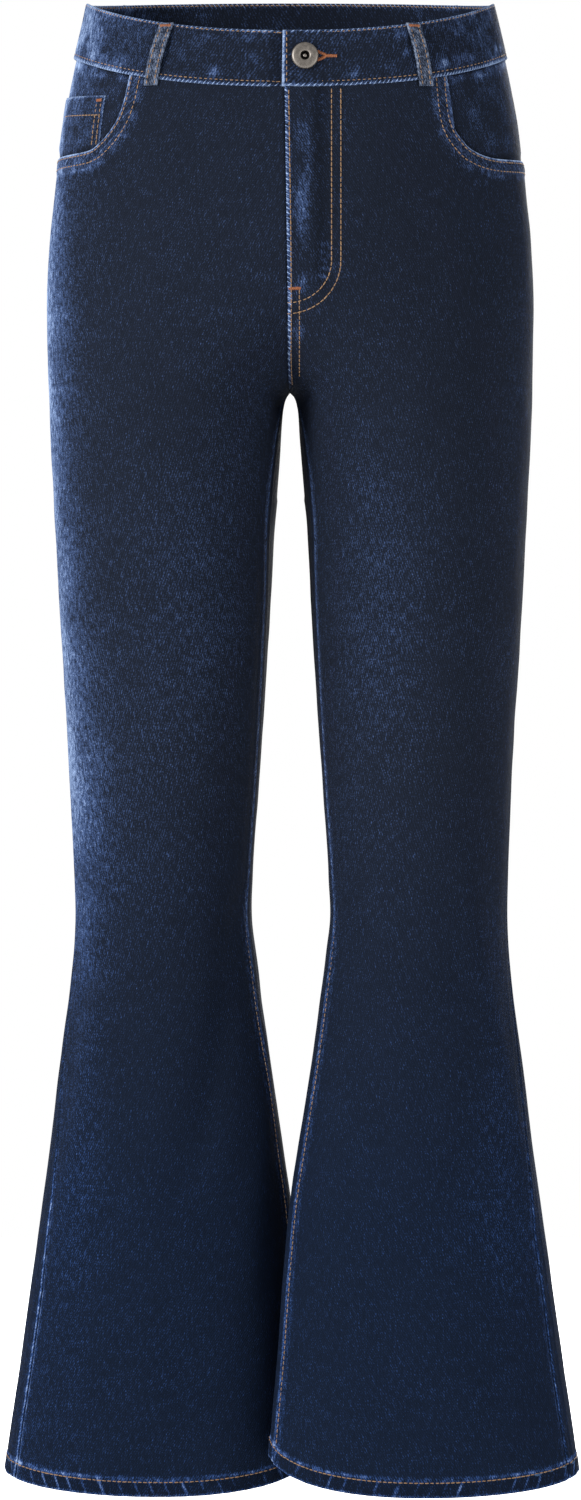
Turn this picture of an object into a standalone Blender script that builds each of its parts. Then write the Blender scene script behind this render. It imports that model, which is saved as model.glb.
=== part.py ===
"""Bootcut jeans, filled out as when worn, with an open waist and open hems.

Sizes are in millimetres and MM turns them into Blender's metres. The origin is the middle of the waist
opening at the height of its sides. +X is the wearer's left, -Y the front and +Z up. Each leg half is
worked out on the wearer's left, and side = -1 mirrors it to the right.
"""

import bmesh
import bpy
import numpy as np

MM = 0.001

# Cloth and seams
SEAM_GAP = 0.3
CLOTH = 1.2
POCKET_CLOTH = 1.0
HEM_HEIGHT = 11.0
HEM_WALL = 2.6
HEM_LIFT = 0.7

# Waist line: the top edge dips in front and rises behind
FRONT_DROP = 30.0
FRONT_DROP_CURVE = 1.45
BACK_RISE = 11.0
BACK_RISE_CURVE = 1.3

# Waistband
BAND_HEIGHT = 42.0
BAND_LIFT = 0.9
BAND_WALL = 2.4
BAND_EDGE_ROUND = 0.7
LAP_END_X = -6.1
UNDERLAP_DIVE = 2.75

# Fly: the wearer's left front laps past the middle, less towards the crotch
FLY_LAP_COLUMNS = ("z", "lap")
FLY_LAP = ((-290.0, 0.0), (-285.0, 0.4), (-230.0, 1.1), (-70.0, 3.4))
FLY_LAP_REACH = 0.25

# Heights where the legs part and where the trunk turns into two legs
CROTCH_Z = -290.0
BLEND_TOP_Z = -150.0
BLEND_END_Z = -285.0
CROTCH_SPREAD = 1.9
CROTCH_SPREAD_CURVE = 0.85
CROTCH_ROUND = 4.6
CROTCH_ROUND_DROP = 4.0
THIGH_GAP_SLOPE = 0.07
THIGH_GAP_END_Z = -370.0
INNER_PULL_CURVE = 5

# The hem is lowest in front and behind and rises to the seams, most at the inseam
HEM_RISE = 16.0
HEM_INNER_RISE = 12.0
HEM_Z = {1: -1104.5, -1: -1112.0}
STRIDE = 38.0
STRIDE_CURVE = 1.3

TRUNK_COLUMNS = ("z", "half_width", "front", "back", "squareness")
TRUNK_SECTIONS = (
    (14.0, 148.0, 92.0, 94.0, 2.20),
    (0.0, 151.3, 94.0, 96.0, 2.20),
    (-27.0, 157.6, 98.0, 101.0, 2.22),
    (-57.0, 164.2, 101.0, 106.0, 2.25),
    (-94.0, 170.9, 104.0, 113.0, 2.28),
    (-146.0, 176.3, 108.0, 125.0, 2.30),
    (-184.0, 180.0, 110.0, 132.0, 2.30),
    (-221.0, 181.9, 111.0, 136.0, 2.28),
    (-260.0, 181.4, 111.0, 134.0, 2.25),
    (-300.0, 180.3, 110.0, 128.0, 2.20),
)

# Each leg's outline: its outer and inner edge from the middle plane, and its depth before and behind
LEG_COLUMNS = ("z", "outer", "inner", "front", "back")
LEG_SECTIONS = (
    (-150.0, 176.7, -106.0, 108.0, 128.0),
    (-221.0, 181.9, -64.0, 109.0, 130.0),
    (-260.0, 181.4, -36.0, 106.0, 125.0),
    (-290.0, 180.5, -13.0, 103.0, 118.0),
    (-330.0, 179.0, 3.0, 99.0, 105.0),
    (-370.0, 176.7, 9.7, 95.0, 96.0),
    (-445.0, 172.6, 14.9, 90.0, 87.0),
    (-520.0, 168.1, 19.4, 83.0, 80.0),
    (-595.0, 164.3, 24.3, 76.0, 74.0),
    (-650.0, 161.8, 27.8, 71.5, 70.5),
    (-685.0, 161.3, 28.9, 69.0, 69.0),
    (-707.0, 162.4, 26.3, 68.0, 69.0),
    (-744.0, 166.2, 21.7, 67.0, 69.5),
    (-781.0, 171.1, 16.8, 66.5, 70.0),
    (-856.0, 180.8, 5.2, 66.0, 71.0),
    (-890.0, 185.5, 0.0, 66.0, 71.0),
    (-946.0, 193.4, -5.2, 66.0, 70.0),
    (-1018.0, 203.6, -10.5, 66.0, 68.0),
    (-1075.0, 212.0, -15.7, 65.5, 66.0),
    (-1118.0, 217.5, -18.6, 65.0, 65.0),
)

# Seam lines, as degrees round the leg from its front: the side seam and the inseam. The last two columns
# are where a front's columns would start and a back's end without the crotch: all but the nearest ones
# keep to them, so that they run on evenly
SEAM_COLUMNS = ("z", "side", "inseam", "front_start", "back_end")
SEAM_LINES = (
    (14.0, 97.0, -90.0, -14.0, 194.0),
    (-150.0, 96.0, -90.0, -14.0, 194.0),
    (-221.0, 95.5, -90.0, -27.0, 207.0),
    (-260.0, 95.2, -90.0, -42.0, 224.0),
    (-290.0, 95.0, -90.0, -62.0, 248.0),
    (-310.0, 94.5, -76.0, -70.0, 268.0),
    (-345.0, 94.0, -69.0, -70.0, 284.0),
    (-450.0, 93.0, -71.0, -71.0, 289.0),
    (-600.0, 90.0, -73.0, -73.0, 287.0),
    (-685.0, 86.0, -71.0, -71.0, 289.0),
    (-760.0, 77.0, -71.0, -71.0, 289.0),
    (-814.0, 71.0, -72.0, -72.0, 288.0),
    (-870.0, 67.0, -73.0, -73.0, 287.0),
    (-1118.0, 67.0, -76.0, -76.0, 284.0),
)
COLUMN_TURN_CURVE = 16

# Largest folds: soft troughs (below zero) and ridges, along a line from one end to the other
# Columns: side, angle_1, z_1, angle_2, z_2, half_width, height
MM_PER_DEGREE = 1.4
FOLD_ACROSS = 88.0
FOLDS = (
    (-1, -62.0, -655.0, -6.0, -895.0, 17.0, -4.0),
    (-1, -80.0, -760.0, -38.0, -930.0, 15.0, 2.2),
    (-1, 40.0, -690.0, 58.0, -960.0, 15.0, 2.8),
    (-1, 30.0, -700.0, 62.0, -745.0, 10.0, -2.2),
    (1, 30.0, -630.0, 67.0, -910.0, 16.0, 2.8),
    (1, -55.0, -690.0, -12.0, -880.0, 18.0, -2.6),
    (1, 5.0, -930.0, 14.0, -1080.0, 22.0, 2.0),
    (-1, 8.0, -960.0, 2.0, -1090.0, 22.0, 2.0),
    (-1, -84.0, -304.0, -22.0, -276.0, 9.0, -2.6),
    (1, -84.0, -302.0, -30.0, -282.0, 9.0, -1.8),
    (1, 262.0, -318.0, 196.0, -296.0, 12.0, -3.6),
    (-1, 260.0, -322.0, 202.0, -292.0, 12.0, -3.2),
    (1, 250.0, -352.0, 176.0, -336.0, 14.0, -2.6),
    (-1, 254.0, -364.0, 184.0, -338.0, 14.0, -3.0),
    (1, 236.0, -648.0, 138.0, -668.0, 12.0, -3.4),
    (-1, 230.0, -640.0, 126.0, -664.0, 13.0, -3.0),
    (1, 228.0, -692.0, 148.0, -712.0, 13.0, -2.6),
    (-1, 240.0, -690.0, 142.0, -706.0, 12.0, -2.8),
    (1, 200.0, -760.0, 178.0, -1010.0, 20.0, 2.6),
    (-1, 206.0, -780.0, 186.0, -1030.0, 20.0, 2.8),
)

# Pocket mouths: the front panel's scooped edge, and the lower edge of the facing behind it
SCOOP_COLUMNS = ("x", "z", "facing_z")
SCOOPS = {
    -1: (
        (118.2, -60.3, -96.0),
        (122.7, -80.0, -101.0),
        (129.3, -95.9, -110.0),
        (139.9, -109.2, -121.5),
        (151.6, -115.6, -128.0),
        (171.9, -116.7, -130.0),
    ),
    1: (
        (115.2, -61.4, -98.0),
        (117.2, -84.4, -104.0),
        (120.2, -98.5, -112.0),
        (125.7, -107.6, -121.0),
        (134.5, -116.0, -129.0),
        (150.8, -120.8, -133.0),
        (171.9, -119.4, -133.0),
    ),
}
SCOOP_END_Z = {-1: -117.0, 1: -119.0}
FACING_INNER_Z = -90.0
COIN_POCKET_COLUMN = 3
COIN_POCKET_TOP = {"inner": -74.4, "outer": -69.5}
COIN_POCKET_TUCK = 10.0

# Yoke and back pocket, as seen from behind
YOKE_HEIGHT_SIDE = 38.0
YOKE_HEIGHT_BACK = 76.0
BACK_POCKET = {
    "outer_top": (155.0, -112.0),
    "inner_top": (24.0, -120.0),
    "inner_foot": (33.0, -243.0),
    "point": (92.0, -262.0),
    "outer_foot": (152.0, -236.0),
}

# Belt loops, each with its angle round the waist at its top and at its foot
LOOPS = ((32.4, 33.8), (-32.8, -35.1), (128.0, 128.0), (-128.0, -128.0), (180.0, 180.0))
LOOP_WIDTH = 10.8
LOOP_WALL = 1.8
LOOP_BELOW_BAND = 5.0
LOOP_PATH_COLUMNS = ("share_down", "clearance")
LOOP_PATH = ((0.0, 0.3), (0.10, 0.6), (0.28, 2.2), (0.50, 2.9), (0.72, 2.4), (0.88, 1.0))
LOOP_FOOT_CLEARANCE = 0.4

# Button: its middle, and its turned profile as radius and height above the cloth
BUTTON_X = 10.6
BUTTON_Z = -49.4
BUTTON_PROFILE = (
    (3.2, 1.2), (3.6, 2.9), (4.4, 3.6), (6.2, 3.9), (8.2, 3.6),
    (9.6, 2.6), (10.0, 1.5), (9.5, 0.6), (8.4, 0.0),
)
BUTTON_HOLE_FLOOR = 1.2
BUTTON_SIDES = 28

# Rows of every leg panel, from below the pockets to above the hem
PANEL_START_Z = -160.0
PANEL_ROWS = (
    -160.0, -190.0, -218.0, -240.0, -258.0, -271.0, -280.0, -286.0, -290.0, -294.0, -300.0, -309.0, -322.0,
    -342.0, -368.0, -400.0, -440.0, -485.0, -530.0, -575.0, -615.0, -645.0, -668.0, -690.0, -714.0, -742.0,
    -778.0, -820.0, -865.0, -910.0, -960.0, -1010.0, -1060.0,
)
TOP_ROW_SHARES = (0.0, 0.22, 0.48, 0.74)
FRONT_INNER_COLUMNS = 6
BACK_COLUMN_COUNT = 14

COLOURS = {
    "denim": (0.020, 0.029, 0.060),
    "faded_denim": (0.030, 0.042, 0.080),
    "loop_twill": (0.045, 0.055, 0.085),
    "button_metal": (0.30, 0.28, 0.26),
}


def clear_scene():
    for scene_object in list(bpy.data.objects):
        bpy.data.objects.remove(scene_object, do_unlink=True)


def column(table, names, name):
    return np.array([row[names.index(name)] for row in table], float)


def smooth(z, table, names, name):
    """A smooth curve through one column of a table whose first column is z."""
    knots = column(table, names, "z")
    values = column(table, names, name)
    if knots[0] > knots[-1]:
        knots, values = knots[::-1], values[::-1]
    slopes = np.gradient(values, knots)
    z = np.clip(z, knots[0], knots[-1])
    i = np.clip(np.searchsorted(knots, z) - 1, 0, len(knots) - 2)
    step = knots[i + 1] - knots[i]
    t = (z - knots[i]) / step
    start = values[i] * (1 + 2 * t) * (1 - t) ** 2 + slopes[i] * step * t * (1 - t) ** 2
    end = values[i + 1] * t * t * (3 - 2 * t) - slopes[i + 1] * step * t * t * (1 - t)
    return start + end


def ease(share):
    share = np.clip(share, 0.0, 1.0)
    return share * share * (3 - 2 * share)


def signed_power(value, power):
    return np.sign(value) * np.abs(value) ** power


def trunk_point(angle, z):
    """Points of the trunk's outline, at angles round the waist from the front."""
    half_width = smooth(z, TRUNK_SECTIONS, TRUNK_COLUMNS, "half_width")
    front = smooth(z, TRUNK_SECTIONS, TRUNK_COLUMNS, "front")
    back = smooth(z, TRUNK_SECTIONS, TRUNK_COLUMNS, "back")
    power = 2 / smooth(z, TRUNK_SECTIONS, TRUNK_COLUMNS, "squareness")
    depth = np.where(np.cos(angle) > 0, front, back)
    return half_width * signed_power(np.sin(angle), power), -depth * signed_power(np.cos(angle), power)


def inner_edge(z):
    """How far the leg's inner outline lies from the middle plane. Above the crotch it is past that plane."""
    height = z - CROTCH_Z
    above = -CROTCH_SPREAD * np.clip(height, 0, None) ** CROTCH_SPREAD_CURVE
    drop = np.clip(-height, 0, None)
    saddle = CROTCH_ROUND * (1 - np.exp(-drop / CROTCH_ROUND_DROP)) + THIGH_GAP_SLOPE * drop
    below = np.where(z > THIGH_GAP_END_Z, saddle, smooth(z, LEG_SECTIONS, LEG_COLUMNS, "inner"))
    return np.where(height >= 0, above, below)


def leg_reach(angle, z):
    """Distance of a leg's outline from the middle plane. Near the crotch only its inner side is pulled in,
    so that the rest of the thigh runs on smoothly."""
    outer = smooth(z, LEG_SECTIONS, LEG_COLUMNS, "outer")
    inner = smooth(z, LEG_SECTIONS, LEG_COLUMNS, "inner")
    pull = (inner_edge(z) - inner) * ((1 - np.sin(angle)) / 2) ** INNER_PULL_CURVE
    return (outer + inner) / 2 + (outer - inner) / 2 * np.sin(angle) + pull


def middle_angle(z):
    """The angle, before the leg's front, where its outline crosses the middle plane above the crotch."""
    low = np.full(np.shape(z), -np.pi / 2)
    high = np.zeros(np.shape(z))
    for _ in range(40):
        guess = (low + high) / 2
        outside = leg_reach(guess, z) > 0
        low, high = np.where(outside, low, guess), np.where(outside, guess, high)
    return (low + high) / 2


def seam_angles(z):
    """The side seam's angle, and the angles where a leg's front starts and its back ends."""
    side = np.radians(smooth(z, SEAM_LINES, SEAM_COLUMNS, "side"))
    inseam = np.radians(smooth(z, SEAM_LINES, SEAM_COLUMNS, "inseam"))
    cut = middle_angle(z)
    above = z >= CROTCH_Z
    return side, np.where(above, cut, inseam), np.where(above, np.pi - cut, inseam + 2 * np.pi)


def leg_angle(half, share, z):
    side_angle, first, last = seam_angles(z)
    if half == "front":
        start = np.radians(smooth(z, SEAM_LINES, SEAM_COLUMNS, "front_start"))
        return start + share * (side_angle - start) + (first - start) * (1 - share) ** COLUMN_TURN_CURVE
    end = np.radians(smooth(z, SEAM_LINES, SEAM_COLUMNS, "back_end"))
    return side_angle + share * (end - side_angle) + (last - end) * share**COLUMN_TURN_CURVE


def fold_height(side, angle, z):
    """How far the folds move a point of one side out or in."""
    total = np.zeros(np.broadcast(angle, z).shape)
    for row in FOLDS:
        fold_side, angle_1, z_1, angle_2, z_2, half_width, height = row
        if fold_side != side:
            continue
        middle = (angle_1 + angle_2) / 2
        nearest = middle + (np.degrees(angle) - middle + 180) % 360 - 180
        run = (angle_2 - angle_1) * MM_PER_DEGREE
        rise = z_2 - z_1
        offset = (nearest - angle_1) * MM_PER_DEGREE
        t = np.clip((offset * run + (z - z_1) * rise) / (run * run + rise * rise), 0, 1)
        distance = np.hypot(offset - t * run, z - z_1 - t * rise)
        total = total + height * np.exp(-((distance / half_width) ** 2)) * np.sqrt(4 * t * (1 - t))
    return total


def half_point(side, half, share, z):
    """Points of one leg half's outer surface. share runs round it: from the middle or the inseam to the
    side seam on a front, and on from the side seam on a back."""
    share, z = np.broadcast_arrays(np.asarray(share, float), np.asarray(z, float))
    side_angle = np.radians(smooth(z, SEAM_LINES, SEAM_COLUMNS, "side"))
    if half == "front":
        trunk_angle = share * side_angle
    else:
        trunk_angle = side_angle + share * (np.pi - side_angle)
    angle = leg_angle(half, share, z)
    trunk_x, trunk_y = trunk_point(trunk_angle, z)
    leg_front = smooth(z, LEG_SECTIONS, LEG_COLUMNS, "front")
    leg_back = smooth(z, LEG_SECTIONS, LEG_COLUMNS, "back")
    deep = np.where(np.cos(angle) > 0, leg_front, leg_back)
    to_leg = ease((BLEND_TOP_Z - z) / (BLEND_TOP_Z - BLEND_END_Z))
    x = (1 - to_leg) * trunk_x + to_leg * leg_reach(angle, z)
    y = (1 - to_leg) * trunk_y - to_leg * deep * np.cos(angle)
    # Folds move the surface along the section's own outward direction
    out_x = np.sin(angle) * deep
    out_y = -np.cos(angle) * FOLD_ACROSS
    fold = fold_height(side, angle, z) / np.hypot(out_x, out_y)
    down = np.clip((CROTCH_Z - z) / (CROTCH_Z - HEM_Z[side]), 0, None)
    y = y - side * STRIDE * down**STRIDE_CURVE
    if half == "front":
        lap = smooth(z, FLY_LAP[::-1], FLY_LAP_COLUMNS, "lap")
        x = x - side * lap * np.clip(1 - share / FLY_LAP_REACH, 0, 1) ** 2
    return np.stack([side * (x + fold * out_x), y + fold * out_y, z], axis=-1)


def half_normal(side, half, share, z, share_step=1e-3, z_step=1.0):
    along = half_point(side, half, share + share_step, z) - half_point(side, half, share - share_step, z)
    upward = half_point(side, half, share, z + z_step) - half_point(side, half, share, z - z_step)
    normal = side * np.cross(along, upward)
    return normal / np.linalg.norm(normal, axis=-1, keepdims=True)


def waist_edge(angle):
    """Height of the waistband's top edge, at an angle round the waist."""
    forward = np.cos(angle)
    front = -FRONT_DROP * np.clip(forward, 0, None) ** FRONT_DROP_CURVE
    back = BACK_RISE * np.clip(-forward, 0, None) ** BACK_RISE_CURVE
    return front + back


def share_angle(half, share):
    """The angle round the waist of a share of a leg half, at the waist seam."""
    side_angle = np.radians(SEAM_LINES[0][1])
    if half == "front":
        return share * side_angle
    return side_angle + share * (np.pi - side_angle)


def waist_seam(half, share):
    return waist_edge(share_angle(half, share)) - BAND_HEIGHT


def share_at(side, x, z):
    """The share of a front at a distance from the middle plane and a height."""
    shares = np.linspace(0, 0.98, 800)
    reach = side * half_point(side, "front", shares, np.full(shares.shape, z))[:, 0]
    return float(np.interp(x, reach, shares))


def scoop_shares(side):
    return np.array([share_at(side, row[0], row[1]) for row in SCOOPS[side]])


def front_columns(side):
    """Shares of a front's columns: even as far as the pocket mouth, then one at each of its points."""
    mouth = scoop_shares(side)
    inner = np.linspace(0, mouth[0], FRONT_INNER_COLUMNS + 1)[:-1]
    return np.concatenate([inner, mouth, [(mouth[-1] + 1) / 2, 1.0]])


def front_top(side, shares):
    """The top edge of a front: the waist seam, then down round the scooped pocket mouth."""
    mouth = scoop_shares(side)
    scoop = np.interp(
        shares,
        np.append(mouth, 1.0),
        np.append(column(SCOOPS[side], SCOOP_COLUMNS, "z"), SCOOP_END_Z[side]),
    )
    return np.where(shares > mouth[0] + 1e-6, scoop, waist_seam("front", shares) - SEAM_GAP / 2)


def yoke_seam(shares):
    drop = YOKE_HEIGHT_SIDE + (YOKE_HEIGHT_BACK - YOKE_HEIGHT_SIDE) * shares
    return waist_seam("back", shares) - drop


def hem_edge(side, half, shares):
    angle = leg_angle(half, shares, np.full(np.shape(shares), HEM_Z[side]))
    rise = HEM_RISE + HEM_INNER_RISE * np.clip(-np.sin(angle), 0, 1)
    return HEM_Z[side] + rise * (1 - np.abs(np.cos(angle)))


def offset_skin(side, half, shares, z, lift, wall):
    """Outer and inner skin of a strip of cloth over a leg half: rows of points down, columns round."""
    above = z > CROTCH_Z + 1e-6
    middle = 0 if half == "front" else -1
    at_middle = shares[0, middle] == (0.0 if half == "front" else 1.0)
    reach = half_point(side, half, shares + 1e-3, z) - half_point(side, half, shares - 1e-3, z)
    inset = SEAM_GAP / 2 * 2e-3 / np.linalg.norm(reach, axis=-1)
    shares = shares.copy()
    for edge, turn in ((0, 1), (-1, -1)):
        meets_middle = at_middle and edge == middle
        shares[:, edge] += turn * np.where(above[:, edge] & meets_middle, 0.0, inset[:, edge])
    points = half_point(side, half, shares, z)
    normals = half_normal(side, half, shares, z)
    if at_middle:
        # The two sides' edges run beside the middle plane, or beside the fly lap
        lap = smooth(z[:, middle], FLY_LAP[::-1], FLY_LAP_COLUMNS, "lap") if half == "front" else 0.0
        closed = z[:, middle] > CROTCH_Z - 1e-6
        points[closed, middle, 0] = (side * SEAM_GAP / 2 - lap * np.ones(len(z)))[closed]
        normals[closed, middle, 0] = 0.0
        normals /= np.linalg.norm(normals, axis=-1, keepdims=True)
    return points + normals * lift[..., None], points + normals * (lift - wall)[..., None]


def shell_object(name, outer, inner, colour):
    """A closed sheet of cloth between two grids of points, split the same way on both skins."""
    rows, columns = outer.shape[:2]
    index = np.arange(rows * columns).reshape(rows, columns)
    back = index + rows * columns
    faces = []

    def quad(a, b, c, d):
        faces.extend([(a, b, c), (a, c, d)])

    for r in range(rows - 1):
        for c in range(columns - 1):
            quad(index[r, c], index[r + 1, c], index[r + 1, c + 1], index[r, c + 1])
            faces.append((back[r, c], back[r + 1, c + 1], back[r + 1, c]))
            faces.append((back[r, c], back[r, c + 1], back[r + 1, c + 1]))
    rim = [index[r, 0] for r in range(rows)]
    rim += [index[-1, c] for c in range(1, columns)]
    rim += [index[r, -1] for r in range(rows - 2, -1, -1)]
    rim += [index[0, c] for c in range(columns - 2, 0, -1)]
    for a, b in zip(rim, rim[1:] + rim[:1]):
        quad(b, a, a + rows * columns, b + rows * columns)
    points = np.concatenate([outer.reshape(-1, 3), inner.reshape(-1, 3)])
    return mesh_object(name, points, faces, colour)


def mesh_object(name, points, faces, colour):
    """A mesh object from points in millimetres, with its faces turned to point out."""
    points = np.asarray(points, float)
    faces = [tuple(int(i) for i in face) for face in faces]
    corners = points[np.array([face[:3] for face in faces])]
    if np.linalg.det(corners).sum() < 0:
        faces = [face[::-1] for face in faces]
    mesh = bpy.data.meshes.new(name)
    mesh.from_pydata((points * MM).tolist(), [], faces)
    mesh.validate()
    mesh.shade_smooth()
    mesh.set_sharp_from_angle(angle=np.radians(40))
    mesh.materials.append(material(name, colour))
    made = bpy.data.objects.new(name, mesh)
    bpy.context.scene.collection.objects.link(made)
    return made


def material(name, colour):
    made = bpy.data.materials.new(name)
    made.use_nodes = True
    shader = made.node_tree.nodes["Principled BSDF"]
    metal = colour == "button_metal"
    shader.inputs["Base Color"].default_value = (*COLOURS[colour], 1.0)
    shader.inputs["Roughness"].default_value = 0.42 if metal else 0.88
    shader.inputs["Metallic"].default_value = 1.0 if metal else 0.0
    return made


def panel_rows(side, half, shares, top):
    """Heights of a leg panel's points, with the lift and the wall of its cloth at each."""
    hem = hem_edge(side, half, shares)
    rows = [top + share * (PANEL_START_Z - top) for share in TOP_ROW_SHARES]
    rows += [np.full(shares.shape, z) for z in PANEL_ROWS]
    rows += [hem + HEM_HEIGHT + 2.0, hem + HEM_HEIGHT, hem]
    z = np.array(rows)
    lift = np.zeros(z.shape)
    wall = np.full(z.shape, CLOTH)
    lift[-2:] = HEM_LIFT
    wall[-2:] = HEM_WALL
    return z, lift, wall


def leg_panel(name, side, half):
    if half == "front":
        shares = front_columns(side)
        top = front_top(side, shares)
    else:
        shares = np.linspace(0, 1, BACK_COLUMN_COUNT)
        top = yoke_seam(shares) - SEAM_GAP / 2
    z, lift, wall = panel_rows(side, half, shares, top)
    grid = np.broadcast_to(shares, z.shape)
    outer, inner = offset_skin(side, half, grid, z, lift, wall)
    shell_object(name, outer, inner, "denim")
    return outer


def strip(name, side, half, shares, top, bottom, row_count, lift, wall, colour):
    """A piece of even thickness between two edges, over part of a leg half."""
    down = np.linspace(0, 1, row_count)[:, None]
    z = top + down * (bottom - top)
    grid = np.broadcast_to(shares, z.shape)
    even = np.ones(z.shape)
    outer, inner = offset_skin(side, half, grid, z, even * lift, even * wall)
    return shell_object(name, outer, inner, colour)


def yoke(name, side):
    shares = np.linspace(0, 1, BACK_COLUMN_COUNT)
    top = waist_seam("back", shares) - SEAM_GAP / 2
    strip(name, side, "back", shares, top, yoke_seam(shares) + SEAM_GAP / 2, 5, 0.0, CLOTH, "denim")


def pocket_facing(name, side, depth):
    """The cloth behind a pocket mouth, from one column inside the mouth to the side seam."""
    shares = front_columns(side)[FRONT_INNER_COLUMNS - 1:]
    lower = column(SCOOPS[side], SCOOP_COLUMNS, "facing_z")
    bottom = np.concatenate([[FACING_INNER_Z], lower, [lower[-1], lower[-1]]])
    top = waist_seam("front", shares) - SEAM_GAP / 2
    strip(name, side, "front", shares, top, bottom, 6, -depth, POCKET_CLOTH, "denim")


def coin_pocket(name, side):
    """A small patch on the facing, tucked under the pocket mouth's edge."""
    first = FRONT_INNER_COLUMNS + COIN_POCKET_COLUMN
    shares = front_columns(side)[first:]
    share_along = (shares - shares[0]) / (shares[-1] - shares[0])
    top = COIN_POCKET_TOP["inner"] + share_along * (COIN_POCKET_TOP["outer"] - COIN_POCKET_TOP["inner"])
    bottom = front_top(side, shares) - COIN_POCKET_TUCK
    depth = CLOTH + SEAM_GAP
    strip(name, side, "front", shares, top, bottom, 5, -depth, POCKET_CLOTH, "faded_denim")


def back_pocket(name, side, panel):
    """A patch cut from the back panel's own outer skin, by planes that face backwards, and moved out."""
    rows, columns = panel.shape[:2]
    cloth = bmesh.new()
    outward_layer = cloth.verts.layers.float_vector.new("outward")
    verts = [cloth.verts.new(point) for point in panel.reshape(-1, 3)]
    index = np.arange(rows * columns).reshape(rows, columns)
    for r in range(rows - 1):
        for c in range(columns - 1):
            corners = (index[r, c], index[r + 1, c], index[r + 1, c + 1], index[r, c + 1])
            for triangle in ((0, 1, 2), (0, 2, 3)):
                cloth.faces.new([verts[corners[k]] for k in triangle])
    cloth.normal_update()
    for vert in cloth.verts:
        vert[outward_layer] = vert.normal
    outline = [np.array([side * x, 0.0, z]) for x, z in BACK_POCKET.values()]
    centre = sum(outline) / len(outline)
    for start, end in zip(outline, outline[1:] + outline[:1]):
        edge = end - start
        outward = np.array([edge[2], 0.0, -edge[0]])
        if outward @ (centre - start) > 0:
            outward = -outward
        bmesh.ops.bisect_plane(
            cloth,
            geom=cloth.verts[:] + cloth.edges[:] + cloth.faces[:],
            plane_co=start,
            plane_no=outward,
            clear_outer=True,
        )
    bmesh.ops.triangulate(cloth, faces=cloth.faces[:])
    cloth.verts.index_update()
    points = np.array([vert.co for vert in cloth.verts])
    normals = np.array([vert[outward_layer] for vert in cloth.verts])
    normals *= np.sign(normals[:, 1].mean()) / np.linalg.norm(normals, axis=-1, keepdims=True)
    count = len(points)
    faces = [tuple(vert.index for vert in face.verts) for face in cloth.faces]
    solid = faces + [tuple(i + count for i in face[::-1]) for face in faces]
    for edge in cloth.edges:
        if not edge.is_boundary:
            continue
        loop = edge.link_loops[0]
        a, b = loop.vert.index, loop.link_loop_next.vert.index
        solid += [(b, a, a + count), (b, a + count, b + count)]
    cloth.free()
    outer = points + normals * (SEAM_GAP + POCKET_CLOTH)
    inner = points + normals * SEAM_GAP
    mesh_object(name, np.concatenate([outer, inner]), solid, "denim")


def band_normal(angle, z):
    x_1, y_1 = trunk_point(angle - 1e-3, z)
    x_2, y_2 = trunk_point(angle + 1e-3, z)
    low_x, low_y = trunk_point(angle, z - 1)
    high_x, high_y = trunk_point(angle, z + 1)
    along = np.stack([x_2 - x_1, y_2 - y_1, np.zeros(np.shape(x_1))], axis=-1)
    upward = np.stack([high_x - low_x, high_y - low_y, np.full(np.shape(x_1), 2.0)], axis=-1)
    normal = np.cross(along, upward)
    return normal / np.linalg.norm(normal, axis=-1, keepdims=True)


def band_point(angle, z, offset):
    x, y = trunk_point(angle, z)
    point = np.stack([x, y, z], axis=-1)
    return point + band_normal(angle, z) * np.asarray(offset)[..., None]


def band_angles():
    """Angles of the waistband's columns, the same as the panels' below it, from the lap's end all round
    to the end that lies under the lap."""
    left = share_angle("front", front_columns(1))
    right = share_angle("front", front_columns(-1))
    behind = share_angle("back", np.linspace(0, 1, BACK_COLUMN_COUNT))[1:]
    lap_angle = float(np.interp(LAP_END_X, *lap_angle_table()))
    over = np.concatenate([[lap_angle], left, behind])
    under = 2 * np.pi - np.concatenate([behind[:-1][::-1], right[::-1][:-1]])
    tucked = 2 * np.pi + np.array([lap_angle, 0.0, left[1]])
    return over, under, tucked


def lap_angle_table():
    angles = np.radians(np.linspace(-10, 10, 81))
    x, _ = trunk_point(angles, np.full(angles.shape, -FRONT_DROP - BAND_HEIGHT / 2))
    return x, angles


def waistband(name):
    over, under, tucked = band_angles()
    angles = np.concatenate([over, under, tucked])
    dive = np.concatenate([np.zeros(len(over) + len(under)), np.full(len(tucked), UNDERLAP_DIVE)])
    top = waist_edge(angles)
    seam = top - BAND_HEIGHT + SEAM_GAP / 2
    out = BAND_LIFT - dive
    inside = out - BAND_WALL
    section = (
        (out, seam),
        (out, (top + seam) / 2),
        (out, top - BAND_EDGE_ROUND * 1.4),
        (out - BAND_EDGE_ROUND, top),
        (inside + BAND_EDGE_ROUND, top),
        (inside, top - BAND_EDGE_ROUND * 1.4),
        (inside, (top + seam) / 2),
        (inside, seam),
    )
    rings = np.array([band_point(angles, z, offset) for offset, z in section])
    side_count, column_count = rings.shape[:2]
    index = np.arange(side_count * column_count).reshape(side_count, column_count)
    faces = []
    for s in range(side_count):
        t = (s + 1) % side_count
        for c in range(column_count - 1):
            faces.append((index[s, c], index[s, c + 1], index[t, c + 1]))
            faces.append((index[s, c], index[t, c + 1], index[t, c]))
    for c, turn in ((0, 1), (column_count - 1, -1)):
        loop = [index[s, c] for s in range(side_count)][::turn]
        for k in range(1, side_count // 2):
            faces.append((loop[k - 1], loop[k], loop[-k]))
            faces.append((loop[k], loop[-k - 1], loop[-k]))
    mesh_object(name, rings.reshape(-1, 3), faces, "denim")


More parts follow.
